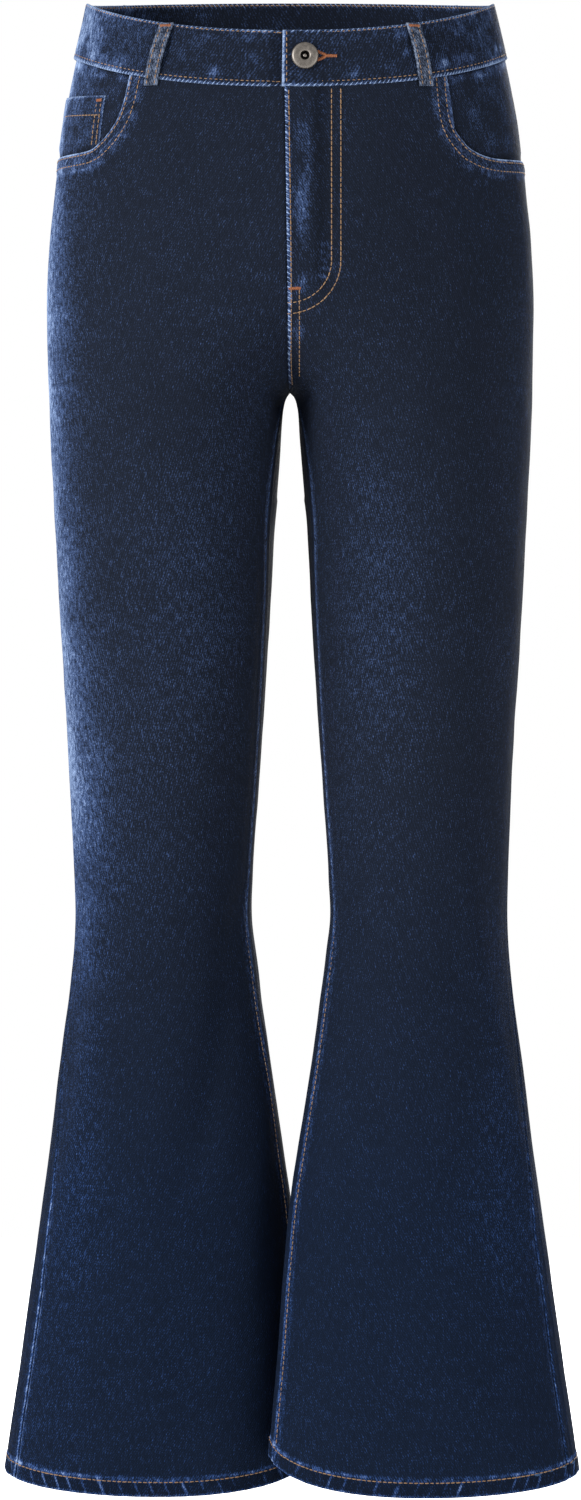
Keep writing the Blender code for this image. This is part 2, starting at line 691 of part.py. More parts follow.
def belt_loop(name, top_angle, foot_angle):
    """A strip that stands a little way off the waistband and is sewn down at both ends."""
    shares = column(LOOP_PATH, LOOP_PATH_COLUMNS, "share_down")
    clearances = column(LOOP_PATH, LOOP_PATH_COLUMNS, "clearance")
    middle = np.radians(top_angle + (foot_angle - top_angle) * shares)
    heights = waist_edge(middle) - 0.5 - shares * BAND_HEIGHT
    offsets = BAND_LIFT + clearances
    foot_angles = np.radians([foot_angle, foot_angle])
    seam = waist_edge(foot_angles) - BAND_HEIGHT
    middle = np.append(middle, foot_angles)
    heights = np.append(heights, seam - np.array([2.0, LOOP_BELOW_BAND]))
    offsets = np.append(offsets, [BAND_LIFT + SEAM_GAP, LOOP_FOOT_CLEARANCE])
    x_1, y_1 = trunk_point(middle - 0.01, heights)
    x_2, y_2 = trunk_point(middle + 0.01, heights)
    half_turn = LOOP_WIDTH / 2 * 0.02 / np.hypot(x_2 - x_1, y_2 - y_1)
    across = np.array([-1.0, 0.0, 1.0])
    angles = middle[:, None] + half_turn[:, None] * across
    z = np.broadcast_to(heights[:, None], angles.shape)
    offset = np.broadcast_to(offsets[:, None], angles.shape)
    shell_object(name, band_point(angles, z, offset + LOOP_WALL), band_point(angles, z, offset), "loop_twill")


def button(name):
    """A turned metal ring with a sunk middle, lying on the lap."""
    x, angles = lap_angle_table()
    angle = np.interp(BUTTON_X, x, angles)
    normal = band_normal(angle, BUTTON_Z)
    seat = band_point(angle, BUTTON_Z, BAND_LIFT + SEAM_GAP)
    sideways = np.cross(np.array([0.0, 0.0, 1.0]), normal)
    sideways /= np.linalg.norm(sideways)
    upward = np.cross(normal, sideways)
    turn = np.linspace(0, 2 * np.pi, BUTTON_SIDES, endpoint=False)
    spokes = np.cos(turn)[:, None] * sideways + np.sin(turn)[:, None] * upward
    rings = np.array([seat + normal * height + spokes * radius for radius, height in BUTTON_PROFILE])
    points = np.concatenate([rings.reshape(-1, 3), [seat + normal * BUTTON_HOLE_FLOOR, seat]])
    ring_count = len(BUTTON_PROFILE)
    floor, base = ring_count * BUTTON_SIDES, ring_count * BUTTON_SIDES + 1
    faces = []
    for s in range(BUTTON_SIDES):
        t = (s + 1) % BUTTON_SIDES
        for r in range(ring_count - 1):
            a, b = r * BUTTON_SIDES, (r + 1) * BUTTON_SIDES
            faces += [(a + s, b + s, b + t), (a + s, b + t, a + t)]
        faces += [(floor, s, t)]
        faces += [(base, floor - BUTTON_SIDES + t, floor - BUTTON_SIDES + s)]
    mesh_object(name, points, faces, "button_metal")


def build():
    clear_scene()
    for side, word in ((-1, "right"), (1, "left")):
        leg_panel(f"front_{word}", side, "front")
        back_skin = leg_panel(f"back_{word}", side, "back")
        yoke(f"yoke_{word}", side)
        back_pocket(f"back_pocket_{word}", side, back_skin)
    behind_coin_pocket = CLOTH + SEAM_GAP + POCKET_CLOTH + SEAM_GAP
    pocket_facing("pocket_facing_right", -1, behind_coin_pocket)
    pocket_facing("pocket_facing_left", 1, CLOTH + SEAM_GAP)
    coin_pocket("coin_pocket", -1)
    waistband("waistband")
    for number, (top_angle, foot_angle) in enumerate(LOOPS, start=1):
        belt_loop(f"belt_loop_{number}", top_angle, foot_angle)
    button("button")


build()
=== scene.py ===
import bpy
import numpy as np
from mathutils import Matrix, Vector


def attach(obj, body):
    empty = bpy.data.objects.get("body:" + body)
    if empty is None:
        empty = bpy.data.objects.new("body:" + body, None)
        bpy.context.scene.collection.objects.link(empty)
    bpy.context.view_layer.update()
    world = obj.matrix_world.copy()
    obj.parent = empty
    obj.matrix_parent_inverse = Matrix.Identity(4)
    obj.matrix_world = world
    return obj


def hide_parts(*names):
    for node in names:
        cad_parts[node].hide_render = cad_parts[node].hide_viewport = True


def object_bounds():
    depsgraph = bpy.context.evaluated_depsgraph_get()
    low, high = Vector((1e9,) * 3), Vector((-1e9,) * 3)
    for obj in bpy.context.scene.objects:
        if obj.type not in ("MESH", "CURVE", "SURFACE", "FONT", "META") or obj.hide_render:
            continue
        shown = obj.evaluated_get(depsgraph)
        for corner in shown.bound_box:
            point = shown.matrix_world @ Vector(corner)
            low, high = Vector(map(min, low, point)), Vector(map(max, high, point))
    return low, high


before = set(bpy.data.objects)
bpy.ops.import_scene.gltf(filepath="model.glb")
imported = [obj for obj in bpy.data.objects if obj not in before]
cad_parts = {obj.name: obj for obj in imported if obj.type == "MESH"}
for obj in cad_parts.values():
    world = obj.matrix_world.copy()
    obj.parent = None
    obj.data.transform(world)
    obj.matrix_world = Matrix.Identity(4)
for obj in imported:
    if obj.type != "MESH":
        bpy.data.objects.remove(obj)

cadLow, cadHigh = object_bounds()
mm = 0.001                                  # sizes are in millimetres, turned to metres when a mesh is made
rightSide, leftSide = -1, 1                 # the wearer's sides: +X is the wearer's left, -Y the front
print("frame loaded:", len(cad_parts), "nodes")

# form of the cloth: sections down the trunk and down a leg, mirrored for the wearer's right

trunk = {
    "z": (14, 0, -27, -57, -94, -146, -184, -221, -260, -300),
    "halfWidth": (148, 151.3, 157.6, 164.2, 170.9, 176.3, 180, 181.9, 181.4, 180.3),
    "front": (92, 94, 98, 101, 104, 108, 110, 111, 111, 110),
    "back": (94, 96, 101, 106, 113, 125, 132, 136, 134, 128),
    "squareness": (2.2, 2.2, 2.22, 2.25, 2.28, 2.3, 2.3, 2.28, 2.25, 2.2),
}
leg = {
    "z": (-150, -221, -260, -290, -330, -370, -445, -520, -595, -650,
          -685, -707, -744, -781, -856, -890, -946, -1018, -1075, -1118),
    "outer": (176.7, 181.9, 181.4, 180.5, 179, 176.7, 172.6, 168.1, 164.3, 161.8,
              161.3, 162.4, 166.2, 171.1, 180.8, 185.5, 193.4, 203.6, 212, 217.5),
    "inner": (-106, -64, -36, -13, 3, 9.7, 14.9, 19.4, 24.3, 27.8,
              28.9, 26.3, 21.7, 16.8, 5.2, 0, -5.2, -10.5, -15.7, -18.6),
    "front": (108, 109, 106, 103, 99, 95, 90, 83, 76, 71.5, 69, 68, 67, 66.5, 66, 66, 66, 66, 65.5, 65),
    "back": (128, 130, 125, 118, 105, 96, 87, 80, 74, 70.5, 69, 69, 69.5, 70, 71, 71, 70, 68, 66, 65),
}
# seam lines, as degrees round a leg from its front, and where the columns of points would start and end
seams = {
    "z": (14, -150, -221, -260, -290, -310, -345, -450, -600, -685, -760, -814, -870, -1118),
    "side": (97, 96, 95.5, 95.2, 95, 94.5, 94, 93, 90, 86, 77, 71, 67, 67),
    "inseam": (-90, -90, -90, -90, -90, -76, -69, -71, -73, -71, -71, -72, -73, -76),
    "frontStart": (-14, -14, -27, -42, -62, -70, -70, -71, -73, -71, -71, -72, -73, -76),
    "backEnd": (194, 194, 207, 224, 248, 268, 284, 289, 287, 289, 289, 288, 287, 284),
}
crotch = {"z": -290, "blendTop": -150, "blendEnd": -285, "spread": 1.9, "spreadCurve": 0.85, "round": 4.6,
          "roundDrop": 4.0, "gapSlope": 0.07, "gapEnd": -370, "pullCurve": 5, "turnCurve": 16}
foldScale = {"perDegree": 1.4, "backDepth": 88}         # millimetres a degree round a leg, and its depth
mapStep = {"z": 3.0, "columns": 160}                    # how finely distances over the cloth are mapped
waist = {"frontDrop": 30, "frontCurve": 1.45, "backRise": 11, "backCurve": 1.3, "bandHeight": 42}
flyLap = {"z": (-70, -230, -285, -290), "lap": (3.4, 1.1, 0.4, 0), "reach": 0.25}
hem = {"z": {leftSide: -1104.5, rightSide: -1112.0}, "rise": 16, "innerRise": 12, "fold": 11,
       "stride": 38, "strideCurve": 1.3}
yokeSeam = {"side": 38, "back": 76}
seamGap = 0.3
tuck = 0.5              # how far an edge passes under the piece that covers it
cloth = 1.2                                 # stretch denim of about 12 oz

# large folds: side, degrees and height of both ends, half width, height out
folds = (
    (-1, -62, -655, -6, -895, 17, -4.0), (-1, -80, -760, -38, -930, 15, 2.2),
    (-1, 40, -690, 58, -960, 15, 2.8), (-1, 30, -700, 62, -745, 10, -2.2),
    (1, 30, -630, 67, -910, 16, 2.8), (1, -55, -690, -12, -880, 18, -2.6),
    (1, 5, -930, 14, -1080, 22, 2.0), (-1, 8, -960, 2, -1090, 22, 2.0),
    (-1, -84, -304, -22, -276, 9, -2.6), (1, -84, -302, -30, -282, 9, -1.8),
    (1, 262, -318, 196, -296, 12, -3.6), (-1, 260, -322, 202, -292, 12, -3.2),
    (1, 250, -352, 176, -336, 14, -2.6), (-1, 254, -364, 184, -338, 14, -3.0),
    (1, 236, -648, 138, -668, 12, -3.4), (-1, 230, -640, 126, -664, 13, -3.0),
    (1, 228, -692, 148, -712, 13, -2.6), (-1, 240, -690, 142, -706, 12, -2.8),
    (1, 200, -760, 178, -1010, 20, 2.6), (-1, 206, -780, 186, -1030, 20, 2.8),
)
# finer creases, in the same columns: at the crotch and the hips, then behind, then round the knees
creases = (
    (-1, -74, -318, -8, -296, 6, -0.9), (-1, -60, -268, 6, -258, 6, -0.7), (1, -70, -316, -14, -300, 6, -0.8),
    (1, -50, -262, 14, -256, 7, -0.6), (-1, -40, -345, 30, -330, 9, -0.6), (1, -30, -352, 28, -340, 9, -0.5),
    (-1, -58, -700, 8, -760, 9, 0.9), (-1, 0, -640, 48, -690, 8, -0.7), (1, -30, -640, 34, -668, 9, -0.8),
    (1, 0, -712, 52, -752, 8, -0.7), (-1, 14, -820, 40, -1000, 10, -0.8), (1, 24, -840, 44, -1040, 11, -0.8),
    (-1, -52, -960, -34, -1090, 10, 0.8), (1, -48, -930, -30, -1085, 10, 0.8),
    (1, 250, -334, 188, -318, 7, -1.4), (-1, 252, -340, 192, -312, 7, -1.3),
    (1, 244, -384, 168, -372, 9, -1.1), (-1, 240, -396, 172, -378, 9, -1.2),
    (1, 232, -626, 150, -640, 7, -1.3), (-1, 236, -616, 140, -632, 7, -1.2),
    (1, 226, -668, 146, -690, 7, 1.1), (-1, 234, -664, 150, -682, 7, 1.2),
    (1, 236, -722, 160, -738, 9, -1.1), (-1, 228, -724, 148, -744, 9, -1.2),
    (1, 220, -430, 206, -590, 12, -0.9), (-1, 214, -420, 204, -580, 12, -0.8),
    (1, 150, -820, 142, -1050, 12, -0.9), (-1, 152, -800, 140, -1040, 12, -0.9),
)


def smooth(z, table, name):
    # a smooth curve through one column of a table against its heights
    knots, values = np.array(table["z"], float), np.array(table[name], float)
    if knots[0] > knots[-1]:
        knots, values = knots[::-1], values[::-1]
    slopes = np.gradient(values, knots)
    z = np.clip(z, knots[0], knots[-1])
    i = np.clip(np.searchsorted(knots, z) - 1, 0, len(knots) - 2)
    step = knots[i + 1] - knots[i]
    t = (z - knots[i]) / step
    start = values[i] * (1 + 2 * t) * (1 - t) ** 2 + slopes[i] * step * t * (1 - t) ** 2
    return start + values[i + 1] * t * t * (3 - 2 * t) - slopes[i + 1] * step * t * t * (1 - t)


def ease(share):
    share = np.clip(share, 0, 1)
    return share * share * (3 - 2 * share)


def hump(distance, width):
    return np.exp(-(distance / width) ** 2)


def softNoise(x, y, size, seed):
    # random heights on a net of squares, eased between its corners: from -1 to 1
    net = np.random.default_rng(seed).uniform(-1, 1, (256, 256))
    x, y = np.asarray(x, float) / size, np.asarray(y, float) / size
    column, row = np.floor(x).astype(int), np.floor(y).astype(int)
    s, t = ease(x - column), ease(y - row)
    low = net[column % 256, row % 256] * (1 - s) + net[(column + 1) % 256, row % 256] * s
    high = net[column % 256, (row + 1) % 256] * (1 - s) + net[(column + 1) % 256, (row + 1) % 256] * s
    return low * (1 - t) + high * t


def signedPower(value, power):
    return np.sign(value) * np.abs(value) ** power


def trunkPoint(angle, z):
    power = 2 / smooth(z, trunk, "squareness")
    depth = np.where(np.cos(angle) > 0, smooth(z, trunk, "front"), smooth(z, trunk, "back"))
    x = smooth(z, trunk, "halfWidth") * signedPower(np.sin(angle), power)
    return x, -depth * signedPower(np.cos(angle), power)


def innerEdge(z):
    # how far a leg's inner outline lies from the middle: above the crotch it is past it
    height = z - crotch["z"]
    above = -crotch["spread"] * np.clip(height, 0, None) ** crotch["spreadCurve"]
    drop = np.clip(-height, 0, None)
    saddle = crotch["round"] * (1 - np.exp(-drop / crotch["roundDrop"])) + crotch["gapSlope"] * drop
    return np.where(height >= 0, above, np.where(z > crotch["gapEnd"], saddle, smooth(z, leg, "inner")))


def legReach(angle, z):
    outer, inner = smooth(z, leg, "outer"), smooth(z, leg, "inner")
    pull = (innerEdge(z) - inner) * ((1 - np.sin(angle)) / 2) ** crotch["pullCurve"]
    return (outer + inner) / 2 + (outer - inner) / 2 * np.sin(angle) + pull


def halvedAngles(z):
    # where a leg's outline crosses the middle plane above the crotch, found by halving
    low, high = np.full(np.shape(z), -np.pi / 2), np.zeros(np.shape(z))
    for _ in range(32):
        guess = (low + high) / 2
        outside = legReach(guess, z) > 0
        low, high = np.where(outside, low, guess), np.where(outside, guess, high)
    return (low + high) / 2


middleZ = np.linspace(crotch["z"], 14, 609)
middleAngles = halvedAngles(middleZ)


def legAngle(half, share, z):
    side = np.radians(smooth(z, seams, "side"))
    inseam = np.radians(smooth(z, seams, "inseam"))
    cut, above = np.interp(z, middleZ, middleAngles), z >= crotch["z"]
    if half == "front":
        first, start = np.where(above, cut, inseam), np.radians(smooth(z, seams, "frontStart"))
        return start + share * (side - start) + (first - start) * (1 - share) ** crotch["turnCurve"]
    last, end = np.where(above, np.pi - cut, inseam + 2 * np.pi), np.radians(smooth(z, seams, "backEnd"))
    return side + share * (end - side) + (last - end) * share ** crotch["turnCurve"]


def foldHeight(side, angle, z):
    total = np.zeros(np.broadcast(angle, z).shape)
    for foldSide, angle1, z1, angle2, z2, halfWidth, height in folds + creases:
        if foldSide != side:
            continue
        middle = (angle1 + angle2) / 2
        nearest = middle + (np.degrees(angle) - middle + 180) % 360 - 180
        run, offset = (angle2 - angle1) * foldScale["perDegree"], (nearest - angle1) * foldScale["perDegree"]
        rise = z2 - z1
        t = np.clip((offset * run + (z - z1) * rise) / (run * run + rise * rise), 0, 1)
        distance = np.hypot(offset - t * run, z - z1 - t * rise)
        total = total + height * hump(distance, halfWidth) * np.sqrt(4 * t * (1 - t))
    return total


def halfPoint(side, half, share, z):
    # share runs round a front from the middle or the inseam to the side seam, and on round a back
    share, z = np.broadcast_arrays(np.asarray(share, float), np.asarray(z, float))
    sideAngle = np.radians(smooth(z, seams, "side"))
    trunkAngle = share * sideAngle if half == "front" else sideAngle + share * (np.pi - sideAngle)
    angle = legAngle(half, share, z)
    trunkX, trunkY = trunkPoint(trunkAngle, z)
    deep = np.where(np.cos(angle) > 0, smooth(z, leg, "front"), smooth(z, leg, "back"))
    toLeg = ease((crotch["blendTop"] - z) / (crotch["blendTop"] - crotch["blendEnd"]))
    x = (1 - toLeg) * trunkX + toLeg * legReach(angle, z)
    y = (1 - toLeg) * trunkY - toLeg * deep * np.cos(angle)
    outX, outY = np.sin(angle) * deep, -np.cos(angle) * foldScale["backDepth"]
    fold = foldHeight(side, angle, z) / np.hypot(outX, outY)
    down = np.clip((crotch["z"] - z) / (crotch["z"] - hem["z"][side]), 0, None)
    y = y - side * hem["stride"] * down ** hem["strideCurve"]
    if half == "front":
        x = x - side * smooth(z, flyLap, "lap") * np.clip(1 - share / flyLap["reach"], 0, 1) ** 2
    return np.stack([side * (x + fold * outX), y + fold * outY, z], axis=-1)


def halfNormal(side, half, share, z):
    along = halfPoint(side, half, share + 1e-3, z) - halfPoint(side, half, share - 1e-3, z)
    upward = halfPoint(side, half, share, z + 0.8) - halfPoint(side, half, share, z - 0.8)
    normal = side * np.cross(along, upward)
    return normal / np.linalg.norm(normal, axis=-1, keepdims=True)


def waistEdge(angle):
    forward = np.cos(angle)
    front = -waist["frontDrop"] * np.clip(forward, 0, None) ** waist["frontCurve"]
    return front + waist["backRise"] * np.clip(-forward, 0, None) ** waist["backCurve"]


def waistSeam(half, share):
    side = np.radians(seams["side"][0])
    angle = share * side if half == "front" else side + share * (np.pi - side)
    return waistEdge(angle) - waist["bandHeight"]


def yokeEdge(share):
    return waistSeam("back", share) - yokeSeam["side"] - (yokeSeam["back"] - yokeSeam["side"]) * share


def hemEdge(side, half, share):
    angle = legAngle(half, share, np.full(np.shape(share), float(hem["z"][side])))
    rise = hem["rise"] + hem["innerRise"] * np.clip(-np.sin(angle), 0, 1)
    return hem["z"][side] + rise * (1 - np.abs(np.cos(angle)))


# distances over the cloth: every seam, stitch and faded edge is placed by millimetres from an edge

halfMaps = {}


def halfMap(side, half):
    if (side, half) not in halfMaps:
        z, share = np.arange(14, -1122, -mapStep["z"]), np.linspace(0, 1, mapStep["columns"] + 1)
        points = halfPoint(side, half, share[None, :], z[:, None])
        steps = np.linalg.norm(np.diff(points, axis=1), axis=-1)
        across = np.concatenate([np.zeros((len(z), 1)), np.cumsum(steps, axis=1)], axis=1)
        halfMaps[side, half] = z, share, across, side * points[..., 0]
    return halfMaps[side, half]


def mapRow(heights, z):
    # the map's row above a height, and how far below that row it is
    row = np.clip((heights[0] - z) / mapStep["z"], 0, len(heights) - 1.001)
    return row.astype(int), row - row.astype(int)


def edgeDistances(side, half, share, z):
    # distance from the inner edge (middle seam or inseam) and from the side seam
    heights, _, across, _ = halfMap(side, half)
    r, t = mapRow(heights, z)
    column = np.clip(share * mapStep["columns"], 0, mapStep["columns"] - 0.001)
    c = column.astype(int)
    s = column - c
    along = ((across[r, c] * (1 - s) + across[r, c + 1] * s) * (1 - t)
             + (across[r + 1, c] * (1 - s) + across[r + 1, c + 1] * s) * t)
    rest = across[r, -1] * (1 - t) + across[r + 1, -1] * t - along
    return (along, rest) if half == "front" else (rest, along)


def shareFrom(side, half, edge, distance, z):
    # the share at a distance from the inner edge or from the side seam
    heights, shares, across, _ = halfMap(side, half)
    distance, z = np.broadcast_arrays(np.asarray(distance, float), np.asarray(z, float))
    found = np.empty(z.shape)
    fromStart = (half == "front") == (edge == "inner")
    above, below = mapRow(heights, z)
    for i, (reach, r, t) in enumerate(zip(distance.flat, above.flat, below.flat)):
        line = across[r] * (1 - t) + across[r + 1] * t
        found.flat[i] = np.interp(reach if fromStart else line[-1] - reach, line, shares)
    return found


def shareAtX(side, half, x, z):
    # the share that lies a distance from the middle plane, seen from the front or from behind
    heights, shares, _, reaches = halfMap(side, half)
    found = np.empty(np.shape(z))
    order = slice(None) if half == "front" else slice(None, None, -1)
    above, below = mapRow(heights, np.asarray(z))
    for i, (reach, r, t) in enumerate(zip(np.ravel(x), np.ravel(above), np.ravel(below))):
        line, ordered = (reaches[r] * (1 - t) + reaches[r + 1] * t)[order], shares[order]
        top = int(np.argmax(line))
        found.flat[i] = np.interp(reach, line[:top + 1], ordered[:top + 1])
    return found


# scooped pocket mouths: the front's cut edge, seen from the front, and the lower edge of the facing behind it
mouths = {
    rightSide: {"x": (118.2, 122.7, 129.3, 139.9, 151.6, 171.9),
                "z": (-60.3, -80, -95.9, -109.2, -115.6, -116.7),
                "facing": (-96, -101, -110, -121.5, -128, -130), "end": -117},
    leftSide: {"x": (115.2, 117.2, 120.2, 125.7, 134.5, 150.8, 171.9),
               "z": (-61.4, -84.4, -98.5, -107.6, -116, -120.8, -119.4),
               "facing": (-98, -104, -112, -121, -129, -133, -133), "end": -119},
}


def evenRun(points, step):
    # a smooth run through a few points, with new points a step apart
    points = np.asarray(points, float)
    ends = np.concatenate([[2 * points[0] - points[1]], points, [2 * points[-1] - points[-2]]])
    t = np.linspace(0, 1, 24, endpoint=False)[:, None]
    fine = [0.5 * (2 * b + (c - a) * t + (2 * a - 5 * b + 4 * c - d) * t**2 + (3 * b - a - 3 * c + d) * t**3)
            for a, b, c, d in zip(ends, ends[1:], ends[2:], ends[3:])]
    fine = np.concatenate(fine + [points[-1:]])
    length = np.concatenate([[0], np.cumsum(np.linalg.norm(np.diff(fine, axis=0), axis=1))])
    even = np.linspace(0, length[-1], max(int(round(length[-1] / step)), 2) + 1)
    return np.stack([np.interp(even, length, fine[:, k]) for k in range(fine.shape[1])], axis=1)


mouthRuns = {}
for side in (rightSide, leftSide):
    mouth = mouths[side]
    corner = shareAtX(side, "front", mouth["x"], mouth["z"])
    knots = np.column_stack([np.append(corner, 1.0), np.append(mouth["z"], mouth["end"])])
    across, _ = edgeDistances(side, "front", knots[:, 0], knots[:, 1])
    run = evenRun(np.column_stack([across, knots[:, 1]]), 2.6)
    share = shareFrom(side, "front", "inner", *run.T)
    share[-1] = 1.0
    mouthRuns[side] = {"across": run[:, 0], "z": run[:, 1], "share": share, "corners": corner,
                       "facing": np.array(mouth["facing"], float)}


def mouthDistance(side, across, z):
    # how far a point of a front is from its pocket mouth
    run, far = mouthRuns[side], np.full(np.shape(z), 99.0)
    near = z > -150
    gaps = np.hypot(across[near][:, None] - run["across"], z[near][:, None] - run["z"])
    far[near] = gaps.min(axis=1) if near.any() else 99.0
    return far


# relief, wear and shade of the leg panels

flyLine = {"inner": 30.0, "outer": 36.8, "turnZ": -200.0, "innerDrop": 29.6, "outerDrop": 37.3, "lead": 0.5}
# ridges and grooves beside each edge: distance from it, half width and height out
relief = {
    "sideSeam": ((0, 1.5, -0.95), (3.4, 2.2, 0.42), (10.5, 1.8, 0.3)),
    "mouth": ((0, 0.8, -0.8), (2.2, 0.9, -0.28), (9.0, 0.9, -0.28)),
    "frontInseam": ((0, 1.3, -0.8), (3.6, 2.6, 0.5)),
    "backInseam": ((0, 1.3, -0.8), (8, 2.4, 0.3)),
    "lapEdge": ((0, 4.5, 0.85), (0, 0.7, -0.5)),
    "hemTop": ((hem["fold"] - 0.6, 1.0, -0.45),),
    "yokeFoot": ((0, 0.8, -0.6),),
    "bandRows": ((0, 0.8, -0.28),),
}
# how worn each place is, and how much darker it is, or at the seat lighter; the darkening beside the fly's
# lap and on the inner flare of the leg behind is painted shade, and the pale outline is partly fading, partly
# painted highlight
wearOf = {"cloth": 0.10, "hemEdge": 0.3, "hemTop": 0.45, "mouth": 0.55, "mouthHem": 0.10, "aroundMouth": 0.22,
          "lapEdge": 0.38, "seam": 0.2, "outline": 0.68, "shin": 0.05, "thigh": 0.08, "frontInseam": 0.16,
          "besideInseam": 0.13, "backInseam": 0.26, "flyRows": 0.30, "fly": 0.25, "flyFoot": 0.20,
          "seatSeam": 0.4, "seatLap": 0.3, "yokeSeam": 0.3, "seat": 0.16, "kneeBack": 0.06}
shadeOf = {"flyRows": 0.34, "flyEdge": 0.4, "paintedInnerFlareShade": 0.16, "seat": 0.16, "hem": 0.16}
outlineFadeAndLightOf = {rightSide: 1.0, leftSide: 0.12}            # the wearer's right side is paler: more faded, and more painted highlight on the key light's side
sideLineOf = {rightSide: 0.55, leftSide: 0.3}
ropePitch = {"sideSeam": 7.6, "mouth": 7.0, "inseam": 9.5, "lapEdge": 3.8, "seat": 4.5, "hem": 12.5}


def ridges(distance, rows):
    return sum(height * hump(distance - place, width) for place, width, height in rows)


def downFrom(z, start, over):
    # from 0 at a height to 1 a little lower
    return ease((start - z) / over)


def upFrom(z, start, over):
    return ease((z - start) / over)


def ropes(along, across, pitch, seed):
    # slanting ridges, as where a folded edge twists in the wash
    phase = (along + 0.9 * across) / pitch + 0.35 * softNoise(along, across * 0, pitch * 2.5, seed)
    ridge = np.sin(2 * np.pi * phase) * 0.8 + 0.2 + 0.5 * softNoise(along, across, pitch, seed + 1)
    return np.clip(ridge, 0, 1) ** 1.5


def marksOf(wear, shade, rope=0.0, ropePhase=0.0):
    # what the denim material reads at each point: how worn, how much lighter, and where folded edges rope; in
    # places the wear holds painted highlight and the lightness painted shade.
    # A rope line is pale wherever its phase passes a half, so it stays thinner than the mesh
    marks = np.clip(wear, 0, 1), shade, np.clip(rope, 0, 1), ropePhase
    return np.stack(np.broadcast_arrays(*marks), axis=-1)


def addRope(skin, mask, along, pitch, wavers=0.35):
    # ropes along one edge, where they are stronger than any laid before
    stronger = mask > skin["rope"]
    waver = wavers * softNoise(along, 0 * along, pitch * 2.6, skin["seed"] + 20)
    skin["rope"] = np.where(stronger, mask, skin["rope"])
    skin["ropePhase"] = np.where(stronger, along / pitch + waver, skin["ropePhase"])


def sideSeamOn(skin, side, half, fromSide, z):
    # a groove with the seam allowance showing as a ridge, and a pale outline from hip to knee: partly faded
    # cloth, partly a painted rim highlight
    seed, isFront = skin["seed"], half == "front"
    slash = ropes(z, fromSide, 13, seed + 5)
    skin["height"] += ridges(fromSide, relief["sideSeam"])
    skin["wear"] += wearOf["seam"] * hump(fromSide - 2.6, 2.2) * (0.35 + 0.4 * slash) / (1 if isFront else 2)
    line = sideLineOf[side] * downFrom(z, -840, 70) * (0.7 + 0.3 * slash)
    addRope(skin, line * hump(fromSide - 1.4, 3), fromSide + 2.4, ropePitch["sideSeam"], 0.04)
    hipToKnee = downFrom(z, -90, 60) * (1 - 0.92 * downFrom(z, -540, 240))
    # the pale outline is part fade, part painted highlight, strongest on the wearer's right where the key
    # light falls
    outline = outlineFadeAndLightOf[side] * (1 - 0.22 * downFrom(z, -250, 130)) * hipToKnee
    fadedAndLit = hump(fromSide - 8, 56) if isFront else 0.62 * hump(fromSide, 42)
    grain = 0.8 + 0.2 * softNoise(skin["girth"], z, 24, seed + 6)
    skin["wear"] += wearOf["outline"] * outline * fadedAndLit * grain
    if isFront:
        # below the knee a paler streak runs down ahead of the side seam
        shin = downFrom(z, -640, 70) * (1 - downFrom(z, -900, 120))
        skin["wear"] += wearOf["shin"] * hump(fromSide - 30, 22) * shin


def mouthOn(skin, side, fromInner, z):
    # the pocket mouth's turned edge, with two rows of stitches pulled into it
    girth, seed = skin["girth"], skin["seed"]
    mouth = mouthDistance(side, fromInner, z)
    inHem = 1 - ease((mouth - 9.8) / 1.6)
    skin["height"] += inHem * (0.5 + 0.22 * softNoise(girth * 1.2, z * 1.2, 5, seed + 7))
    skin["height"] += ridges(mouth, relief["mouth"])
    skin["wear"] += wearOf["mouth"] * hump(mouth, 1.3) + wearOf["mouthHem"] * inHem
    addRope(skin, 0.2 * inHem * hump(mouth - 5.4, 3), girth - z, ropePitch["mouth"])
    around = hump(mouth - 12.5, 3.0) * (0.6 + 0.6 * softNoise(girth, z, 5, seed + 8))
    skin["wear"] += wearOf["aroundMouth"] * around


def flyOn(skin, middle, z):
    # the fly's lap on the wearer's left front: a raised edge, two curved rows, and rubbed places between
    seed = skin["seed"]
    drop = np.clip((flyLine["turnZ"] - z) / flyLine["outerDrop"], 0, 1)
    flyEdge = flyLine["outer"] * np.sqrt(1 - drop**2) + 3.0
    inFly = (1 - ease((middle - flyEdge) / 2.0)) * upFrom(z, -245, 6)
    fromRows = [flyCurve(middle, z, name) for name in ("inner", "outer")]
    skin["height"] += 0.55 * inFly + ridges(middle, relief["lapEdge"])
    for fromRow in fromRows:
        skin["height"] -= 0.26 * hump(fromRow, 0.9) * (z > -238)
    pucker = ropes(z, middle * 0.4, 6.4, seed + 10)
    nearRows = (hump(fromRows[0] + 3.0, 4.2) + 0.8 * hump(fromRows[1] - 3.4, 3.4)) * upFrom(z, -236, 8)
    skin["height"] += 0.18 * nearRows * (pucker - 0.4)
    rowGrain = np.clip(softNoise(middle, z, 16, seed + 16) + 0.1, 0, 1)
    skin["wear"] += wearOf["flyRows"] * nearRows * pucker * rowGrain
    skin["wear"] += wearOf["lapEdge"] * hump(middle - 0.6, 1.1)
    addRope(skin, hump(middle - 0.6, 1.0), z + 0.8 * middle, ropePitch["lapEdge"])
    abraded = hump(middle - 10, 7.0) * downFrom(z, -84, 26) * (1 - downFrom(z, -146, 60))
    skin["wear"] += wearOf["fly"] * abraded * (0.75 + 0.9 * softNoise(middle * 2.0, z * 0.12, 5, seed + 12))
    foot = hump(middle - 9, 5) * hump(z + 215, 7) + hump(middle - 8, 5) * hump(z + 251, 6)
    skin["wear"] += wearOf["flyFoot"] * foot
    skin["shade"] -= shadeOf["flyRows"] * hump(middle - 24, 6) * upFrom(z, -235, 30)


